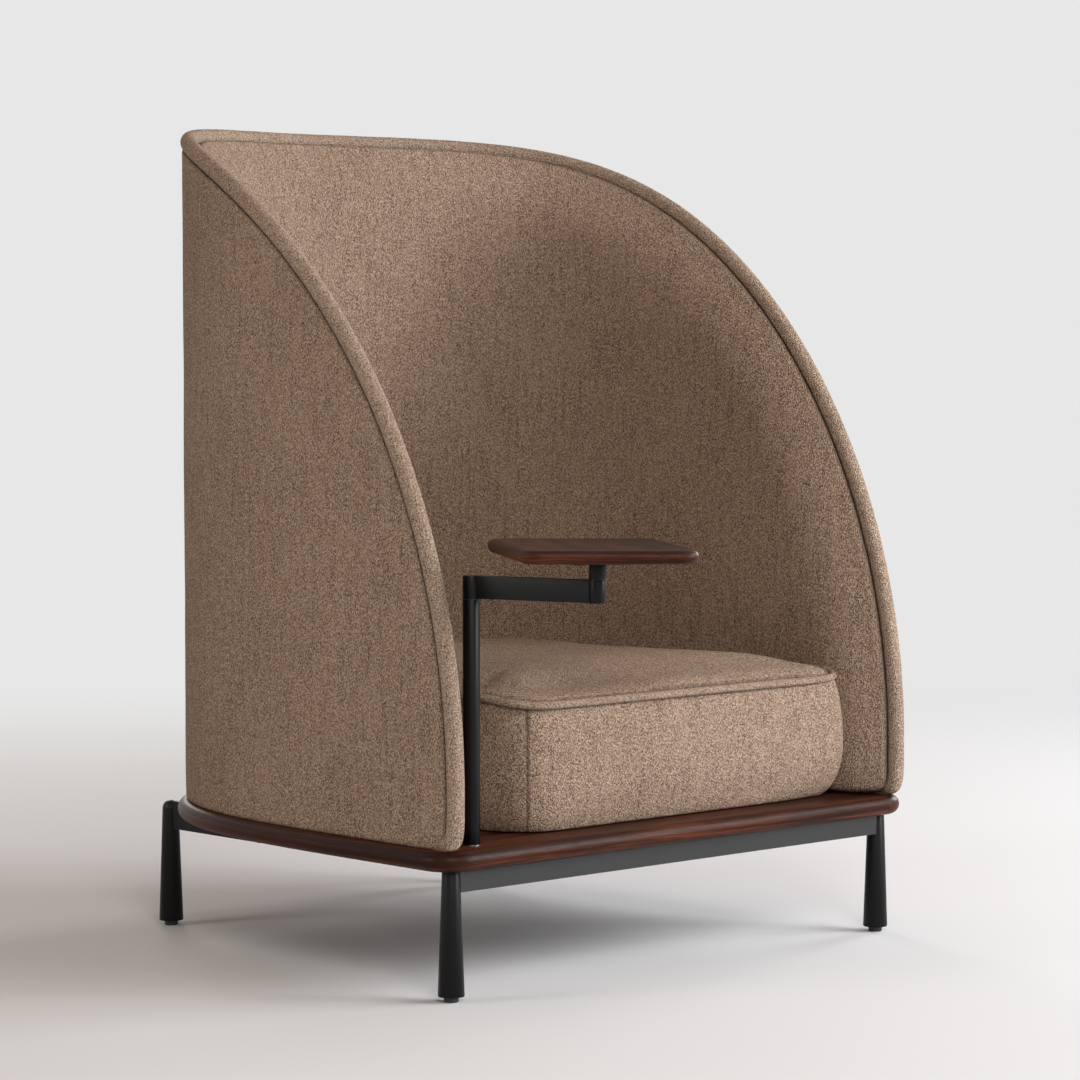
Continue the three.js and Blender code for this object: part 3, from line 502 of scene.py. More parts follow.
wallPoints = makeWallPlan()
wallAlong = lengthsAlong(wallPoints)
wallLength = wallAlong[-1]
wallHeading = unit(np.gradient(wallPoints, axis=0))


def onWall(distance, offset, height):
    x, y = (np.interp(distance, wallAlong, column) for column in wallPoints.T)
    headX, headY = (np.interp(distance, wallAlong, column) for column in wallHeading.T)
    return np.stack([x - headY * offset, y + headX * offset, height + 0 * x], axis=1)


def rimHeight(distance):
    y = np.interp(distance, wallAlong, wallPoints[:, 1])
    centre = wallRear + shellPlan["rimOverrun"]
    share = np.clip((centre - y) / (centre - wallFront), 0, 1)
    return rimBase + (shellPlan["rimTop"] - rimBase) * np.sqrt(1 - share ** 2)


def makeRim(spacing):        # flat rim curve: distance along the wall and height, closer set at its feet
    half = (wallLength / 2) * np.linspace(0, 1, 1200) ** 2
    left = np.stack([half, rimHeight(half)], axis=1)
    left[0] = (0, rimBase)
    left = np.vstack([[(0, wallBase)], left])
    curve = np.vstack([left, left[::-1][1:] * (-1, 1) + (wallLength, 0)])
    total = lengthsAlong(curve)[-1]
    even = np.arange(shellPlan["rimEvenFrom"], total / 2, spacing)
    start = np.concatenate([shellPlan["rimFeet"], even]) / total
    return resampled(curve, np.concatenate([start, [0.5], 1 - start[::-1]]))


rim = makeRim(0.011)
rimHeading = unit(np.gradient(rim, axis=0))
rimInward = np.stack([rimHeading[:, 1], -rimHeading[:, 0]], axis=1)
rimInward[0] = (1, 0)
rimInward[-1] = (-1, 0)
print("rim of", len(rim), "points over a wall", round(wallLength, 3), "long")


# The panels' lower front corners are rounded where the roll turns in under them

foot = {"lift": 0.012, "shift": 0.009, "width": 0.062, "height": 0.045}


def roundedFeet(flat):
    fromLeft, fromRight = flat[:, 0], wallLength - flat[:, 0]
    near = np.clip(1 - np.minimum(fromLeft, fromRight) / foot["width"], 0, 1) ** 2
    low = np.clip(1 - (flat[:, 1] - wallBase) / foot["height"], 0, 1)
    side = np.where(fromLeft < fromRight, 1, -1)
    return flat + np.column_stack([side * foot["shift"] * near * low ** 3, foot["lift"] * near * low ** 2])


# A padded sheet of the wall: rows that follow the rim, and one patch inside them

def wallSheet(rows):
    curves = [rim + rimInward * reach for reach, depth in rows]
    for curve in curves:
        curve[:, 1] = np.maximum(curve[:, 1], wallBase)
    steps = [math.dist(a, b) for a, b in zip(rows, rows[1:])] + [0.0]
    cloth = [rim + rimInward * (rows[-1][0] - sum(steps[k:])) for k in range(len(rows))]
    edge = curves[-1]
    split = int(np.argmax(rimHeading[:, 0] > rimHeading[:, 1]))
    over = len(rim) - 1 - split
    left, top, right = edge[:split + 1], edge[split:over + 1], edge[over:][::-1]
    shares = lengthsAlong(top) / lengthsAlong(top)[-1]
    patch = coonsGrid(edge[0] + (edge[-1] - edge[0]) * shares[:, None], top, left, right)
    tall, wide = patch.shape[:2]
    core = patch[:-1, 1:-1].reshape(-1, 2)
    index = np.arange(len(rows) * len(rim)).reshape(len(rows), len(rim))
    inside = np.zeros((tall, wide), dtype=int)
    inside[:, 0] = index[-1][:split + 1]
    inside[-1] = index[-1][split:over + 1]
    inside[:, -1] = index[-1][over:][::-1]
    inside[:-1, 1:-1] = index.size + np.arange(len(core)).reshape(tall - 1, wide - 2)
    depths = np.repeat([depth for reach, depth in rows], len(rim))
    depths = np.concatenate([depths, np.full(len(core), rows[-1][1])])
    faces = gridFaces(index.T) + gridFaces(inside)
    loop = np.concatenate([index[0], index[1:, -1], inside[0][::-1][1:], index[1:-1, 0][::-1]])
    return np.vstack(curves + [core]), np.vstack(cloth + [core]), depths, faces, loop


padding = {"edgeDepth": 0.35, "calmEdge": 0.05, "waves": ((7.0, 0.0011, 0.0), (19.0, 0.0004, 5.0))}


def padPiece(name, pad, rows, outward, node, seed):
    reaches = np.linspace(shellPlan["rollRadius"] + shellPlan["gap"], rows[-1][0], len(rows))
    front, frontCloth, depth, frontFaces, frontLoop = wallSheet(rows)
    back, backCloth, backDepth, backFaces, backLoop = wallSheet([(reach, pad["back"]) for reach in reaches])
    rise = np.clip((front[:, 1] - wallBase) / pad["foot"], 0, 1)
    tuck = padding["edgeDepth"] + (1 - padding["edgeDepth"]) * np.sqrt(1 - (1 - rise) ** 2)
    depth = pad["back"] + (depth - pad["back"]) * tuck
    calm = np.clip((front[:, 1] - wallBase) / padding["calmEdge"], 0, 1)
    calm = calm * np.clip(depth / rows[-1][1], 0, 1)
    for scale, height, shift in padding["waves"]:
        depth = depth + wobble(raised(front), scale, height, seed + shift) * calm
    side = 1 if outward else -1
    front, back = roundedFeet(front), roundedFeet(back)
    points = np.vstack([onWall(front[:, 0], side * depth, front[:, 1]),
                        onWall(back[:, 0], side * backDepth, back[:, 1])])
    faces = frontFaces + [[number + len(front) for number in reversed(face)] for face in backFaces]
    backLoop = backLoop + len(front)
    faces += np.stack([np.roll(frontLoop, -1), frontLoop, backLoop, np.roll(backLoop, -1)], axis=1).tolist()
    if not outward:
        faces = [face[::-1] for face in faces]
    weave = raised(np.vstack([frontCloth, backCloth]))
    # painted shade: the rows beside the roll count as close to the crease, so the cloth darkens along it
    seam = np.ones(len(points))
    seam[:len(pad["crease"]) * len(rim)] = np.repeat(pad["crease"], len(rim))
    piece = makePiece(name, points, faces, shellCloth, "chair", [node], "shell_fabric", weave, seam, 180)


# Lip: reach from the rim and depth from the middle of the wall, for each row of the edge
# Crease: how far each of those rows counts to be from the crease by the roll, where the cloth's colour is darkened
# as painted shade
outerPad = {
    "lip": [(0.0128, 0.0060), (0.0116, 0.0070), (0.0112, 0.0079), (0.0114, 0.0087), (0.0121, 0.0095),
            (0.0135, 0.0103), (0.0155, 0.0108), (0.0185, 0.0111), (0.0240, 0.0110), (0.0340, 0.0107)],
    "back": 0.0053,
    "foot": 0.007,
    "crease": (0.0012,) * 4 + (0.0016, 0.0028, 0.0045, 0.0062),
}
innerPad = {
    "lip": [(0.0122, 0.0070), (0.0104, 0.0088), (0.0088, 0.0110), (0.0073, 0.0134), (0.0062, 0.0158),
            (0.0056, 0.0182), (0.0060, 0.0206), (0.0073, 0.0231), (0.0096, 0.0254), (0.0126, 0.0274)],
    "shoulder": 0.100,
    "shoulderStart": 0.0160,
    "shoulderDepth": 0.0292,
    "shoulderRows": 11,
    "shoulderPower": 1.7,
    "back": 0.0053,
    "foot": 0.012,
    "crease": (0.0012,) * 6 + (0.0018, 0.0032, 0.0048, 0.0062),
}


def innerPadRows():
    share = np.linspace(0, 1, innerPad["shoulderRows"] + 1)
    reach = innerPad["shoulderStart"] + (innerPad["shoulder"] - innerPad["shoulderStart"]) * share
    rise = 1 - (1 - share) ** innerPad["shoulderPower"]
    depth = innerPad["shoulderDepth"] + (shellPlan["innerFace"] - innerPad["shoulderDepth"]) * rise
    return innerPad["lip"] + list(zip(reach, depth))


padPiece("outer_panel", outerPad, outerPad["lip"], True, "shell_outer_pad", 3.0)
padPiece("inner_panel", innerPad, innerPadRows(), False, "shell_inner_pad", 11.0)
print("shell panels made")


# Roll over the rim, cut on the bias, whose ends turn in under the panels

roll = {
    "sides": 28,
    "spacing": 0.0055,
    "tailLength": 0.070,
    "tailRadius": 0.0066,
    "tailSteps": 12,
    "tailPower": 1.5,
    "bedded": 0.96,
    "bias": 45.0,
    "unevenness": 0.0003,
}


def rollPath():
    radius = shellPlan["rollRadius"]
    fine = makeRim(roll["spacing"])
    fine = roundedFeet(fine[fine[:, 1] > wallBase + 0.0005])
    share = np.arange(roll["tailSteps"]) / roll["tailSteps"]        # from under the panel to the rim's foot
    size = roll["tailRadius"] + (radius - roll["tailRadius"]) * share ** roll["tailPower"]
    tail = np.stack([fine[0, 0] + roll["tailLength"] * (1 - share), wallBase + size * roll["bedded"]], axis=1)
    flat = np.vstack([tail, fine, tail[::-1] * (-1, 1) + (wallLength, 0)])
    for _ in range(5):
        flat[1:-1] = (flat[:-2] + 2 * flat[1:-1] + flat[2:]) / 4
    return flat, np.concatenate([size, np.full(len(fine), radius), size[::-1]])


def makeRoll():
    flat, radii = rollPath()
    path = onWall(flat[:, 0], 0, flat[:, 1])
    points = sweptRings(path, radii, roll["sides"]).reshape(-1, 3)
    outward = unit(points - np.repeat(path, roll["sides"], axis=0))
    points = points + outward * wobble(points, 45.0, roll["unevenness"], 2.0)[:, None]
    points[:, 2] = np.maximum(points[:, 2], wallBase)
    weave = sweptWeave(path, radii, roll["sides"], roll["bias"])
    piece = makePiece("rim_roll_cover", points, ringFaces(len(path), roll["sides"]), rollClothPaintedLight, "chair",
                      ["rim_roll"], "shell_fabric", weave, sharp=180)


makeRoll()
print("rim roll made")


# Box cushion

cushion = {
    "wallGap": 0.007,
    "setback": 0.059,
    "floorGap": 0.0008,
    "cornerRadius": 0.030,
    "seamCornerRadius": 0.070,
    "seamShift": 0.0045,
    "chamferWidth": 0.113,
    "chamferDepth": 0.345,
    "flare": 0.012,
    "flareLength": 0.16,
    "weltRise": 0.190,
    "weltSideLift": 0.011,
    "weltLiftLeft": 0.090,
    "weltLiftRight": 0.048,
    "weltRadius": 0.0058,
    "weltInset": 0.0045,
    "weltSides": 18,
    "weltBias": 45.0,
    "seamTuck": 0.007,
    "cornerSeamEase": 0.004,
    "underside": (0.075, 0.055),
    "crown": 0.032,
    "crownEdge": 0.0095,
    "crownEdgeReach": 0.020,
    "crownReach": 0.170,
    "crownPower": 2.2,
    "crownWaves": 0.0030,
    "tuck": 0.015,
    "tuckHeight": 0.22,
    "cornerReach": 0.20,
    "cornerTuck": 0.022,
    "cornerTuckHeight": 0.16,
    "bulge": 0.004,
    "cornerBulge": 0.006,
    "earLift": 0.004,
    "earReach": 0.055,
    "earInset": 0.006,
    "weltEarReach": 0.12,
    "pucker": 0.0012,
    "sideGive": 0.006,
    "topGive": 0.010,
    "points": 340,
}
cushionOffset = shellPlan["innerFace"] + cushion["wallGap"]
cushionHalf = wallHalfWidth - cushionOffset
cushionFront = deckLow.y + cushion["setback"]
cushionBottom = deckHigh.z + cushion["floorGap"]
seamCorner = np.array([-cushionHalf + cushion["chamferWidth"] + cushion["seamShift"], cushionFront])


def arcPoints(centre, radius, start, end, steps=10):
    angle = np.radians(np.linspace(start, end, steps))
    return np.stack([centre[0] + radius * np.cos(angle), centre[1] + radius * np.sin(angle)], axis=1)


def cushionOutline():
    radius = cushion["cornerRadius"]
    wall = onWall(np.linspace(wallLength, 0, 900), -cushionOffset, 0)[:, :2]
    chamferEnd = cushionFront + cushion["chamferDepth"]
    wall = wall[wall[:, 1] > np.where(wall[:, 0] > 0, cushionFront + radius, chamferEnd)]
    frontRight = arcPoints((cushionHalf - radius, cushionFront + radius), radius, -90, 0)
    turn = cushion["seamCornerRadius"]
    start, end = seamCorner + unit(wall[-1] - seamCorner) * turn, seamCorner + (turn, 0)
    bend = [(1 - s) ** 2 * start + 2 * s * (1 - s) * seamCorner + s ** 2 * end for s in np.linspace(0, 1, 9)]
    outline = np.vstack([[end], frontRight, wall, bend])
    flare = np.clip(1 - (outline[:, 1] - cushionFront) / cushion["flareLength"], 0, 1) ** 2
    outline[:, 0] += cushion["flare"] * flare * np.clip(outline[:, 0] / cushionHalf, 0, 1) ** 4
    smooth = evenLoop(outline, 4 * cushion["points"])
    for _ in range(6):
        smooth = (np.roll(smooth, 1, axis=0) + 2 * smooth + np.roll(smooth, -1, axis=0)) / 4
    return evenLoop(smooth, cushion["points"])


outline = cushionOutline()
outlineAlong = lengthsAlong(outline, closed=True)
outlineInward = loopInward(outline)
for spread in range(1, 8):        # turned gently through the corners, so that inset rings don't cross
    sides = np.roll(outlineInward, spread, axis=0) + np.roll(outlineInward, -spread, axis=0)
    outlineInward = unit(outlineInward + sides)
earCorner = np.array([cushionHalf + cushion["flare"], cushionFront]) + cushion["earInset"] * np.array([-1, 1])
seamAlong = outlineAlong[int(np.argmin(np.linalg.norm(outline - seamCorner, axis=1)))]


def earShare(points, reach=cushion["earReach"]):        # 1 at the front right corner, fading out behind it
    gap = np.linalg.norm(points - earCorner, axis=1)
    return np.clip(1 - gap / reach, 0, 1) ** 2


def weltHeight(points):
    length = np.where(points[:, 0] > 0, cushion["weltLiftRight"], cushion["weltLiftLeft"])
    share = np.clip((points[:, 1] - cushionFront) / length, 0, 1)
    lift = cushion["weltSideLift"] * share ** 2 * (3 - 2 * share)
    return deckHigh.z + cushion["weltRise"] + lift + cushion["earLift"] * earShare(points)


def edgeGap(points):        # distance to the outline, in slices to spare memory
    edge = np.roll(outline, -1, axis=0) - outline
    size = (edge ** 2).sum(axis=1)
    result = []
    for part in np.array_split(points, max(1, len(points) // 2000)):
        away = part[:, None, :] - outline[None]
        share = np.clip((away * edge[None]).sum(axis=2) / size[None], 0, 1)
        gap = away - share[:, :, None] * edge[None]
        result.append(np.sqrt((gap ** 2).sum(axis=2)).min(axis=1))
    return np.concatenate(result)


# Heights of the side's rows as shares, inset and drop of the rows by the piping, and insets on the top
sideShares = [0.0, 0.004, 0.012, 0.03, 0.06, 0.10, 0.15, 0.21, 0.28, 0.36, 0.45, 0.55, 0.65, 0.74, 0.82, 0.88,
              0.925, 0.96, 0.985]
weltRows = [(0.0106, 0.0040), (0.0114, 0.0030)]
topInsets = [0.0124, 0.0140, 0.0165, 0.020, 0.025, 0.032, 0.041, 0.052, 0.066]


def sideInset(share):
    corner = earShare(outline, cushion["cornerReach"])
    tuck = cushion["tuck"] + cushion["cornerTuck"] * corner
    height = cushion["tuckHeight"] + cushion["cornerTuckHeight"] * corner
    low = np.clip(1 - share / height, 0, 1)
    near = np.clip((share - 0.8) / 0.2, 0, 1)
    seam = (cushion["seamTuck"] - cushion["cornerSeamEase"] * corner) * near ** 2
    swell = (cushion["bulge"] + cushion["cornerBulge"] * corner) * math.sin(math.pi * share)
    return tuck * (1 - np.sqrt(1 - low ** 2)) + cushion["weltInset"] * share + seam - swell


def crownHeight(points, gap):
    start = weltHeight(points) - weltRows[-1][1]
    inset = np.clip(gap - weltRows[-1][0], 0, 1)
    quick = np.clip(inset / cushion["crownEdgeReach"], 0, 1)
    share = np.clip(inset / cushion["crownReach"], 0, 1)
    edge = cushion["crownEdge"] * (1 - (1 - quick) ** 2)
    middle = deckHigh.z + cushion["weltRise"] + cushion["crown"]
    swell = 1 - (1 - share) ** cushion["crownPower"]
    height = start + edge + (middle - start - cushion["crownEdge"]) * swell
    return height + wobble(raised(points), 8.0, cushion["crownWaves"], 4.0) * np.clip(share * 2.5, 0, 1)


def topGive(gap):
    return cushion["topGive"] * np.clip((gap - weltRows[-1][0]) / 0.07, 0.02, 1)


# Each row of the cover holds x, y, z, two cloth coordinates, how far it may be pushed, and seam distance, by which
# the cloth's colour is darkened as painted shade

def coverRow(flat, height, u, v, give, seam):
    return np.column_stack(np.broadcast_arrays(flat[:, 0], flat[:, 1], height, u, v, give, seam))


def coverRows():
    total = outlineAlong[-1]
    around = outlineAlong[:-1]
    along = (around + total / 2) % total        # the band is cut at the back
    # signed distance from the front left seam, where the cloth is darkened as painted shade
    seam = (around - seamAlong + total / 2) % total - total / 2
    top = weltHeight(outline)
    pucker = wobble(raised(outline), 42.0, cushion["pucker"], 8.0)
    rows = []
    for inset in cushion["underside"]:
        rows.append(coverRow(outline + outlineInward * inset, cushionBottom, along, -inset, 0, 1))
    for share in sideShares:
        inset = sideInset(share) + pucker * math.sin(math.pi * share ** 3)
        height = cushionBottom + (top - weltRows[0][1] - cushionBottom) * share
        give = cushion["sideGive"] * math.sin(math.pi * share) ** 0.7
        rows.append(coverRow(outline + outlineInward * inset[:, None], height, along, height, give, seam))
    # the rows under the piping count as on the seam, so they take the full painted shade
    for inset, drop in weltRows:
        rows.append(coverRow(outline + outlineInward * inset, top - drop, along, top - drop, 0, 0))
    for inset in topInsets:
        flat = outline + outlineInward * inset
        gap = edgeGap(flat)
        # painted shade: the top's rows just behind the piping count as near a seam, so a dark line is painted
        # along the groove there
        shade = max(inset - seamShadeLook["reach"], 0.0008)
        rows.append(coverRow(flat, crownHeight(flat, gap), flat[:, 0], flat[:, 1], topGive(gap), shade))
    return rows


def gridEdges(loop):        # a loop as the bottom, top, left and right of a grid
    quarter = len(loop) // 4
    right = (len(loop) - 2 * quarter) // 2
    top, left = right + quarter, 2 * right + quarter
    closing = np.concatenate([loop[left:], loop[:1]])
    return loop[:right + 1], loop[top:left + 1][::-1], closing[::-1], loop[right:top + 1]


def assembleCushion():
    rows = coverRows()
    count = len(outline)
    cover = np.vstack(rows)
    faces = ringFaces(len(rows), count, caps=False)
    welt = (2 + len(sideShares)) * count
    pinned = [*range(3 * count), *range(welt, welt + 2 * count)]
    for first, isTop in ((0, False), (len(cover) - count, True)):
        grid = coonsGrid(*gridEdges(cover[first:first + count, :2]))
        inner = grid[1:-1, 1:-1].reshape(-1, 2)
        numbers = len(cover) + np.arange(len(inner))
        index = np.zeros(grid.shape[:2], dtype=int)
        index[0], index[-1], index[:, 0], index[:, -1] = gridEdges(np.arange(first, first + count))
        index[1:-1, 1:-1] = numbers.reshape(index[1:-1, 1:-1].shape)
        quads = gridFaces(index)
        if isTop:
            gap = edgeGap(inner)
            height, give = crownHeight(inner, gap), topGive(gap)
            faces += quads
        else:
            height, give = cushionBottom, 0
            faces += [quad[::-1] for quad in quads]
            pinned += numbers.tolist()
        cover = np.vstack([cover, coverRow(inner, height, inner[:, 0], inner[:, 1], give, 1)])
    return cover, faces, pinned


puff = {
    "frames": 20,
    "cloth": {
        "quality": 6,
        "mass": 0.4,
        "tension_stiffness": 25,
        "compression_stiffness": 25,
        "shear_stiffness": 10,
        "bending_stiffness": 2.0,
        "use_pressure": True,
        "uniform_pressure_force": 4.0,
        "vertex_group_mass": "seams",
    },
}


def inflateCushion(piece, pinned, give):        # the stuffing pushes the panels out between their seams
    start = np.empty(len(piece.data.vertices) * 3)
    piece.data.vertices.foreach_get("co", start)
    piece.vertex_groups.new(name="seams").add(pinned, 1.0, "REPLACE")
    cloth = piece.modifiers.new("stuffing", "CLOTH")
    for key, value in puff["cloth"].items():
        setattr(cloth.settings, key, value)
    cloth.settings.effector_weights.gravity = 0
    cloth.point_cache.frame_start = 1
    cloth.point_cache.frame_end = puff["frames"]
    scene = bpy.context.scene
    for step in range(1, puff["frames"] + 1):
        scene.frame_set(step)
    shaped = piece.evaluated_get(bpy.context.evaluated_depsgraph_get())
    end = np.empty(len(start))
    shaped.data.vertices.foreach_get("co", end)
    piece.modifiers.remove(cloth)
    piece.vertex_groups.clear()
    scene.frame_set(1)
    move = (end - start).reshape(-1, 3)
    size = np.linalg.norm(move, axis=1)
    cap = np.maximum(give, 1e-6)
    move *= (cap * np.tanh(size / cap) / np.maximum(size, 1e-9))[:, None]
    piece.data.vertices.foreach_set("co", start + move.ravel())
    piece.data.update()
    print("cushion inflated, most", round(float(size.max()), 4), "kept", round(float(np.abs(move).max()), 4))


def makeCushion():
    cover, faces, pinned = assembleCushion()
    points, weave, give, seam = cover[:, :3], raised(cover[:, 3:5]), cover[:, 5], cover[:, 6]
    piece = makePiece("seat_cushion_cover", points, faces, cushionCloth, "chair", ["seat_cushion"],
                      "cushion_fabric", weave, seam, sharp=180)
    inflateCushion(piece, pinned, give)
    rounding = piece.modifiers.new("rounding", "SUBSURF")
    rounding.levels = rounding.render_levels = 1


makeCushion()
print("cushion made")


def makeWelt():
    ear = cushion["earInset"] * earShare(outline, cushion["weltEarReach"])
    flat = outline + outlineInward * (cushion["weltInset"] + ear)[:, None]
    path = evenLoop(raised(flat, weltHeight(outline)), 900)
    radii = np.full(len(path), cushion["weltRadius"])
    rings = sweptRings(path, radii, cushion["weltSides"], closed=True)
    weave = sweptWeave(path, radii, cushion["weltSides"], cushion["weltBias"])
    piece = ringPiece("cushion_piping", rings, rollClothPaintedLight, "chair", closed=True, nodes=["cushion_welt"],
                      slot="cushion_fabric", weave=weave, sharp=180)


makeWelt()
print("piping made")


# Boards with a full round edge

board = {"edgeRows": 14, "faceStep": 0.0002, "edgeGrain": 3.0}


def boardRings(loop, low, high):        # with coordinates for the grain, which follows the edge
    radius = (high - low) / 2
    inward = loopInward(loop)
    along = lengthsAlong(loop, closed=True)[:-1]
    rings, grain = [], []
    for k in range(board["edgeRows"] + 1):
        angle = math.pi * (k / board["edgeRows"] - 0.5)
        flat = loop + inward * radius * (1 - math.cos(angle))
        rings.append(raised(flat, low + radius + radius * math.sin(angle)))
        grain.append(np.column_stack([along, 0 * along + board["edgeGrain"] + radius * angle, 0 * along]))
    step = inward * board["faceStep"]
    under, over = (raised(ring[:, :2] + step, ring[0, 2]) for ring in (rings[0], rings[-1]))
    return np.array([under, *rings, over]), np.vstack([under, *grain, over])


deck = {"cornerRadius": 0.052, "points": 700}


def deckOutline():
    radius = deck["cornerRadius"]
    side = planHalf(deckHigh.x, deckLow.y, deckHigh.y, 1500)
    side = side[side[:, 1] > deckLow.y + radius]
    half = np.vstack([arcPoints((deckHigh.x - radius, deckLow.y + radius), radius, -90, 0, 16), side])
    return evenLoop(np.vstack([half, half[::-1][1:] * (-1, 1)]), deck["points"])


deckRings, deckGrain = boardRings(deckOutline(), deckLow.z, deckHigh.z)
ringPiece("seat_deck_board", deckRings, deckWalnut, "chair", nodes=["seat_deck"], slot="walnut",
          weave=deckGrain, sharp=50)

table = {
    "turn": 57.6,
    "skew": 10.7,
    "length": 0.312,
    "width": 0.248,
    "cornerRadius": 0.030,
    "reach": 0.047,
    "points": 420,
}
joints = {joint["name"]: joint for joint in frame["joints"]}
postAt = Vector(joints["arm_swivel"]["pos_m"])
stubAt = Vector(joints["table_swivel"]["pos_m"])


def tableOutline():
    skew = math.radians(table["skew"])
    radius = table["cornerRadius"]
    halfLength = table["length"] / 2 - radius / math.cos(skew)
    halfWidth = table["width"] / 2 - radius
    corners = [(1, -1, -90, -table["skew"]), (1, 1, -table["skew"], 90),
               (-1, 1, 90, 180 - table["skew"]), (-1, -1, 180 - table["skew"], 270)]
    parts = []
    for signX, signY, start, end in corners:
        centreY = signY * halfWidth
        centreX = table["reach"] + signX * halfLength + math.tan(skew) * centreY
        parts.append(arcPoints((centreX, centreY), radius, start, end, 18))
    return evenLoop(np.vstack(parts), table["points"])


def makeTable():
    low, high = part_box("table_top")
    turn = math.radians(table["turn"])
    cos, sin = math.cos(turn), math.sin(turn)
    rings, grain = boardRings(tableOutline(), low.z, high.z)
    x, y, z = rings[..., 0], rings[..., 1], rings[..., 2]
    rings = np.stack([stubAt.x + x * cos - y * sin, stubAt.y + x * sin + y * cos, z], axis=-1)
    ringPiece("table_board", rings, tableWalnut, "table", nodes=["table_top"], slot="walnut", weave=grain,
              sharp=50)


makeTable()
print("boards made")


# Steel, turned or bevelled as the solids are

steel = {
    "sides": 80,
    "bevel": 0.00054,
    "easedEdge": 0.0008,
    "capShare": 0.7,
    "legBevel": 0.0014,
    "legNeck": 0.0132,
    "legGap": 0.0003,
    "domeStep": 8,
    "glideHead": 0.008,
    "glideBevel": 0.0006,
    "screwBevel": 0.0002,
}
arm = {"width": 0.012, "bossRadius": 0.0125, "seam": 0.0004, "reachShare": 0.84}


def softened(profile, bevel):        # the profile with its hard corners cut back to small rounds
    points = [np.array(p, dtype=float) for p in profile]
    result = [points[0]]
    for before, here, after in zip(points, points[1:], points[2:]):
        back, on = before - here, after - here
        reach = min(bevel, np.linalg.norm(back) / 2.2, np.linalg.norm(on) / 2.2)
        start, end = here + unit(back) * reach, here + unit(on) * reach
        result += [start, (start + end) / 4 + here / 2, end]
    return result + [points[-1]]


def turnedPiece(name, profile, centre, material, body, nodes, slot):        # the profile: radius and height
    angle = np.linspace(0, 2 * np.pi, steel["sides"], endpoint=False)
    circle = np.stack([np.cos(angle), np.sin(angle)], axis=1)
    rings = [raised(circle * radius + (centre[0], centre[1]), height) for radius, height in profile]
    ringPiece(name, rings, material, body, nodes=nodes, slot=slot, sharp=30)


def tubePiece(name, radius, low, high, centre, body, nodes):
    inner = radius * steel["capShare"]
    profile = softened([(inner, low), (radius, low), (radius, high), (inner, high)], steel["bevel"])
    turnedPiece(name, profile, centre, powderCoat, body, nodes, "powder_coat")


def uprightBox(node):        # of a round upright solid: centre, radius, low end and high end
    low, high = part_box(node)
    return ((low.x + high.x) / 2, (low.y + high.y) / 2), (high.x - low.x) / 2, low.z, high.z


def makeLeg(corner):
    centre, foot, low, high = uprightBox("leg_" + corner)
    neck, barTop = steel["legNeck"], deckLow.z - steel["legGap"]
    isRear = corner.startswith("rear")
    top = (neck * (0.9 if isRear else 0.8), barTop)
    profile = softened([(foot * 0.8, low), (foot, low), (neck, barTop), top], steel["legBevel"])
    if isRear:        # a dome takes the place of the flat top
        angles = np.radians(np.arange(0, 89, steel["domeStep"]))
        dome = [(neck * math.cos(a), barTop + (high - barTop) * math.sin(a)) for a in angles]
        profile = profile[:-3] + dome
    turnedPiece("leg_cover_" + corner, profile, centre, powderCoat, "chair", ["leg_" + corner], "powder_coat")


def makeGlide(corner):
    centre, radius, low = uprightBox("glide_" + corner)[:3]
    head = low + steel["glideHead"]
    profile = [(radius * 0.72, low), (radius * 0.94, low + 0.0004), (radius, low + 0.002), (radius, head),
               (radius * 0.5, head)]
    turnedPiece("glide_cover_" + corner, softened(profile, steel["glideBevel"]), centre, blackNylon, "chair",
                ["glide_" + corner], "black_nylon")


def makePost():
    radius, low, high = uprightBox("table_post")[1:]
    tubePiece("post_tube", radius, low, high, postAt, "chair", ["table_post"])


def makeStub():
    low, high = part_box("stub_bush")[1].z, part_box("table_stub")[1].z
    tubePiece("stub_tube", arm["bossRadius"], low, high, stubAt, "table", ["table_stub"])


def makeArm():
    low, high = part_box("swivel_arm")
    radius, half = arm["bossRadius"], arm["width"] / 2
    for name, spot, nodes in (("arm_boss_near", postAt, ["swivel_arm"]), ("arm_boss_far", stubAt, [])):
        tubePiece(name, radius, low.z, high.z, spot, "arm", nodes)
    along = (stubAt.xy - postAt.xy).normalized()
    side = Vector((-along.y, along.x))
    inset = along * (radius * arm["reachShare"] + arm["seam"])
    corners = [(-half, low.z), (-half, high.z), (half, high.z), (half, low.z), (-half, low.z)]
    section = softened(corners, steel["easedEdge"])[1:]
    rings = [[(*(end + side * across), height) for across, height in section]
             for end in (postAt.xy + inset, stubAt.xy - inset)]
    ringPiece("arm_bar", rings, powderCoat, "arm", slot="powder_coat", sharp=30)


# Screws from below, with thin heads: body, height of the solid's head, shank radius, head thickness
screws = {
    "deck_screw": ("chair", 0.003, 0.0025, 0.0008),
    "plate_screw": ("table", 0.0022, 0.002, 0.0006),
    "shell_bolt": ("chair", 0.005, 0.003, 0.0006),
}


def makeScrews():
    for kind, (body, headHeight, shank, thin) in screws.items():
        for name in sorted(node for node in frame["nodes"] if node.startswith(kind)):
            centre, radius, low, high = uprightBox(name)
            seat = low + headHeight
            profile = [(radius * 0.5, seat - thin), (radius * 0.92, seat - thin), (radius, seat),
                       (shank, seat), (shank, high), (shank * 0.5, high)]
            profile = softened(profile, steel["screwBevel"])
            turnedPiece(name + "_cover", profile, centre, blackSteel, body, [name], "zinc_steel")


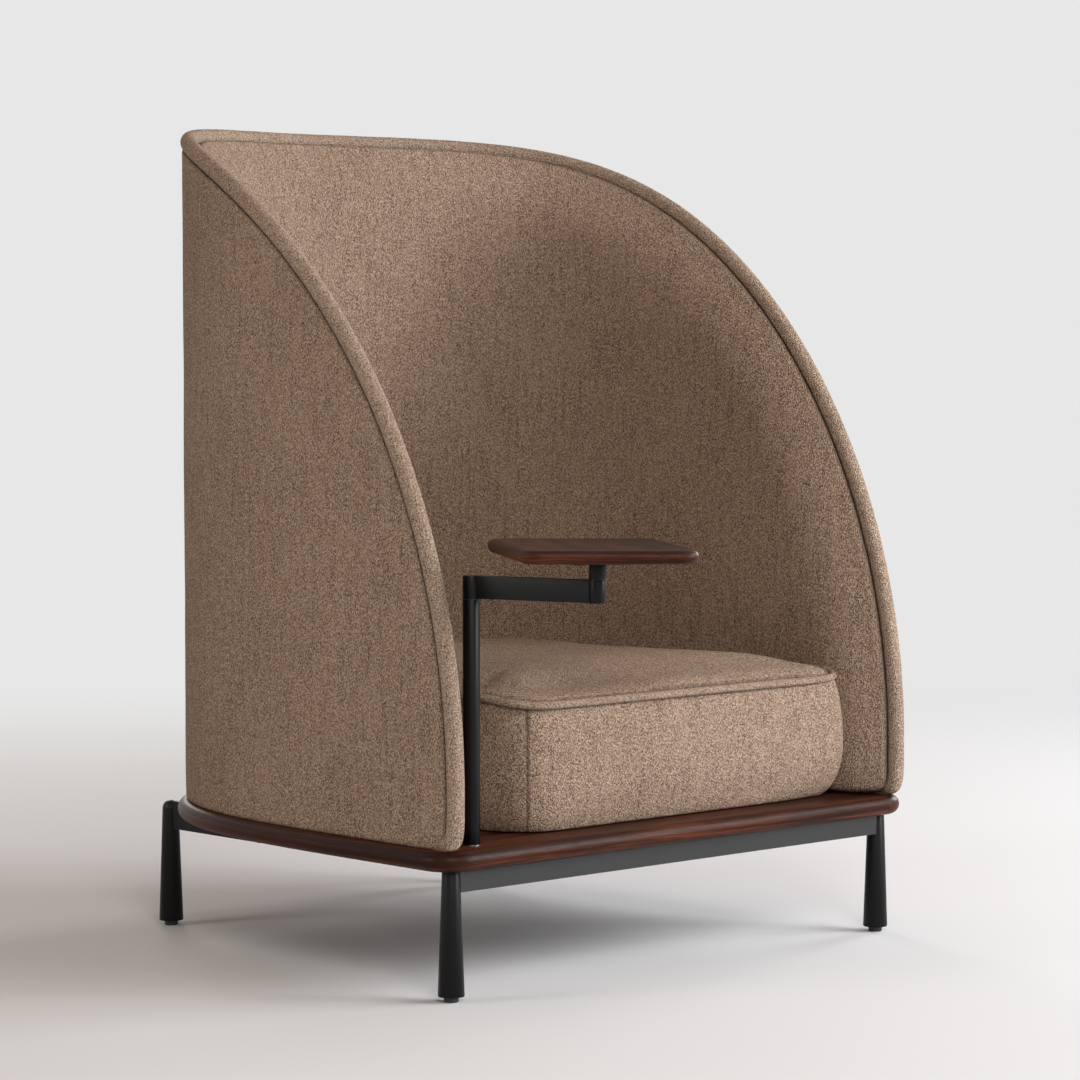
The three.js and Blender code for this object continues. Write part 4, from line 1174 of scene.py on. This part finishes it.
for corner in ("front_left", "front_right", "rear_left", "rear_right"):
    makeLeg(corner)
    makeGlide(corner)
for bar in ("front_crossbar", "rear_crossbar", "side_rail_left", "side_rail_right", "table_plate"):
    modifier = frame["nodes"][bar].modifiers.new("eased edges", "BEVEL")
    modifier.width = steel["easedEdge"]
    modifier.segments = 2
    modifier.limit_method = "ANGLE"
    modifier.angle_limit = math.radians(50)
    modifier.harden_normals = True
makePost()
makeArm()
makeStub()
makeScrews()
print("steel made")


# A finish for every solid that shows or hides as it is

slotMaterials = {
    "shell_fabric": shellCloth,
    "cushion_fabric": cushionCloth,
    "walnut": deckWalnut,
    "powder_coat": powderCoat,
    "plywood": rawPlywood,
    "black_nylon": blackNylon,
    "zinc_steel": blackSteel,
}
slotOf = {part["node"]: part["material_slot"] for part in frame["record"]["subparts"]}
ownMaterials = {"post_foot_washer": brightSteel, "front_crossbar": barReflectionCoat, "rear_crossbar": barReflectionCoat}
for name, node in frame["nodes"].items():
    for place in node.material_slots:
        place.material = ownMaterials.get(name, slotMaterials[slotOf[name]])
print("solids finished")


# Floor, light and camera

studio = {
    "floorSize": 60.0,
    "floor": (0.69, 0.715, 0.75, 1.0),
    "sky": (0.8, 0.8, 0.8, 1.0),
    "fadeStart": 1.2,
    "fadeEnd": 4.5,
    "worldStrength": 0.22,
    "worldTint": (1.0, 0.70, 0.50, 1.0),
    "aim": (0.0, 0.0, 0.55),
    "plain": (1.0, 1.0, 1.0),
    "warm": (1.0, 0.94, 0.87),
}
lamps = {        # place, size, power and tint
    "key": ((2.8, -4.2, 1.8), 1.8, 180.0, "plain"),
    "key_side": ((3.4, -2.6, 2.6), 1.8, 78.0, "plain"),
    "key_top": ((1.4, -4.4, 3.6), 1.8, 58.0, "plain"),
    "rim_right": ((4.6, 0.4, 1.9), 1.6, 80.0, "plain"),
    "fill_front": ((-3.0, -4.6, 3.2), 2.0, 134.0, "warm"),
    "fill_left": ((-5.2, 1.8, 2.2), 2.0, 68.0, "warm"),
    "fill_back": ((2.4, 5.0, 2.8), 2.0, 70.0, "warm"),
}
cameraFit = {
    "place": (-3.9416, -4.188366, 0.9706),
    "yaw": 0.7527,
    "pitch": 0.0689,
    "lens": 122.57,
    "sensor": 36.0,
    "shiftPixels": 39.36,
    "frame": 1080,
}


def turnTo(thing, heading):
    thing.rotation_euler = heading.to_track_quat("-Z", "Y").to_euler()


def makeFloor():
    half = studio["floorSize"]
    mesh = bpy.data.meshes.new("floor")
    mesh.from_pydata([(-half, -half, 0), (half, -half, 0), (half, half, 0), (-half, half, 0)], [],
                     [[0, 1, 2, 3]])
    graph = Graph("floor")
    away = graph.add("ShaderNodeVectorMath", {"operation": "LENGTH"}, {0: graph.objectPlace()}, 1)
    matt = graph.add("ShaderNodeBsdfDiffuse", None, {"Color": studio["floor"]})
    glow = graph.add("ShaderNodeEmission", None, {"Color": studio["sky"]})
    far = graph.fade(away, studio["fadeStart"], studio["fadeEnd"]) * graph.seen()
    mixed = graph.add("ShaderNodeMixShader", None, {0: far, 1: matt, 2: glow})
    graph.add("ShaderNodeOutputMaterial", None, {"Surface": mixed})
    mesh.materials.append(graph.owner)
    placed("floor", mesh)


def makeWorld():
    world = bpy.data.worlds.new("studio")
    bpy.context.scene.world = world
    graph = Graph("studio", world)
    lightValues = {"Color": studio["worldTint"], "Strength": studio["worldStrength"]}
    light = graph.add("ShaderNodeBackground", None, lightValues)
    shown = graph.add("ShaderNodeBackground", None, {"Color": studio["sky"]})
    mixed = graph.add("ShaderNodeMixShader", None, {0: graph.seen(), 1: light, 2: shown})
    graph.add("ShaderNodeOutputWorld", None, {"Surface": mixed})


def makeLamps():
    for name, (place, size, power, tintName) in lamps.items():
        light = bpy.data.lights.new(name, "AREA")
        light.shape = "DISK"
        light.size = size
        light.energy = power
        light.color = studio[tintName]
        holder = placed(name, light)
        holder.location = place
        turnTo(holder, Vector(studio["aim"]) - Vector(place))


def makeCamera():
    data = bpy.data.cameras.new("camera")
    data.lens = cameraFit["lens"]
    data.sensor_width = cameraFit["sensor"]
    data.shift_y = cameraFit["shiftPixels"] / cameraFit["frame"]
    camera = placed("camera", data)
    camera.location = cameraFit["place"]
    yaw, pitch = cameraFit["yaw"], cameraFit["pitch"]
    level = math.cos(pitch)
    turnTo(camera, Vector((math.sin(yaw) * level, math.cos(yaw) * level, -math.sin(pitch))))
    bpy.context.scene.camera = camera


makeFloor()
makeWorld()
makeLamps()
makeCamera()
bpy.context.scene.view_settings.view_transform = "Standard"

print("scene ready")
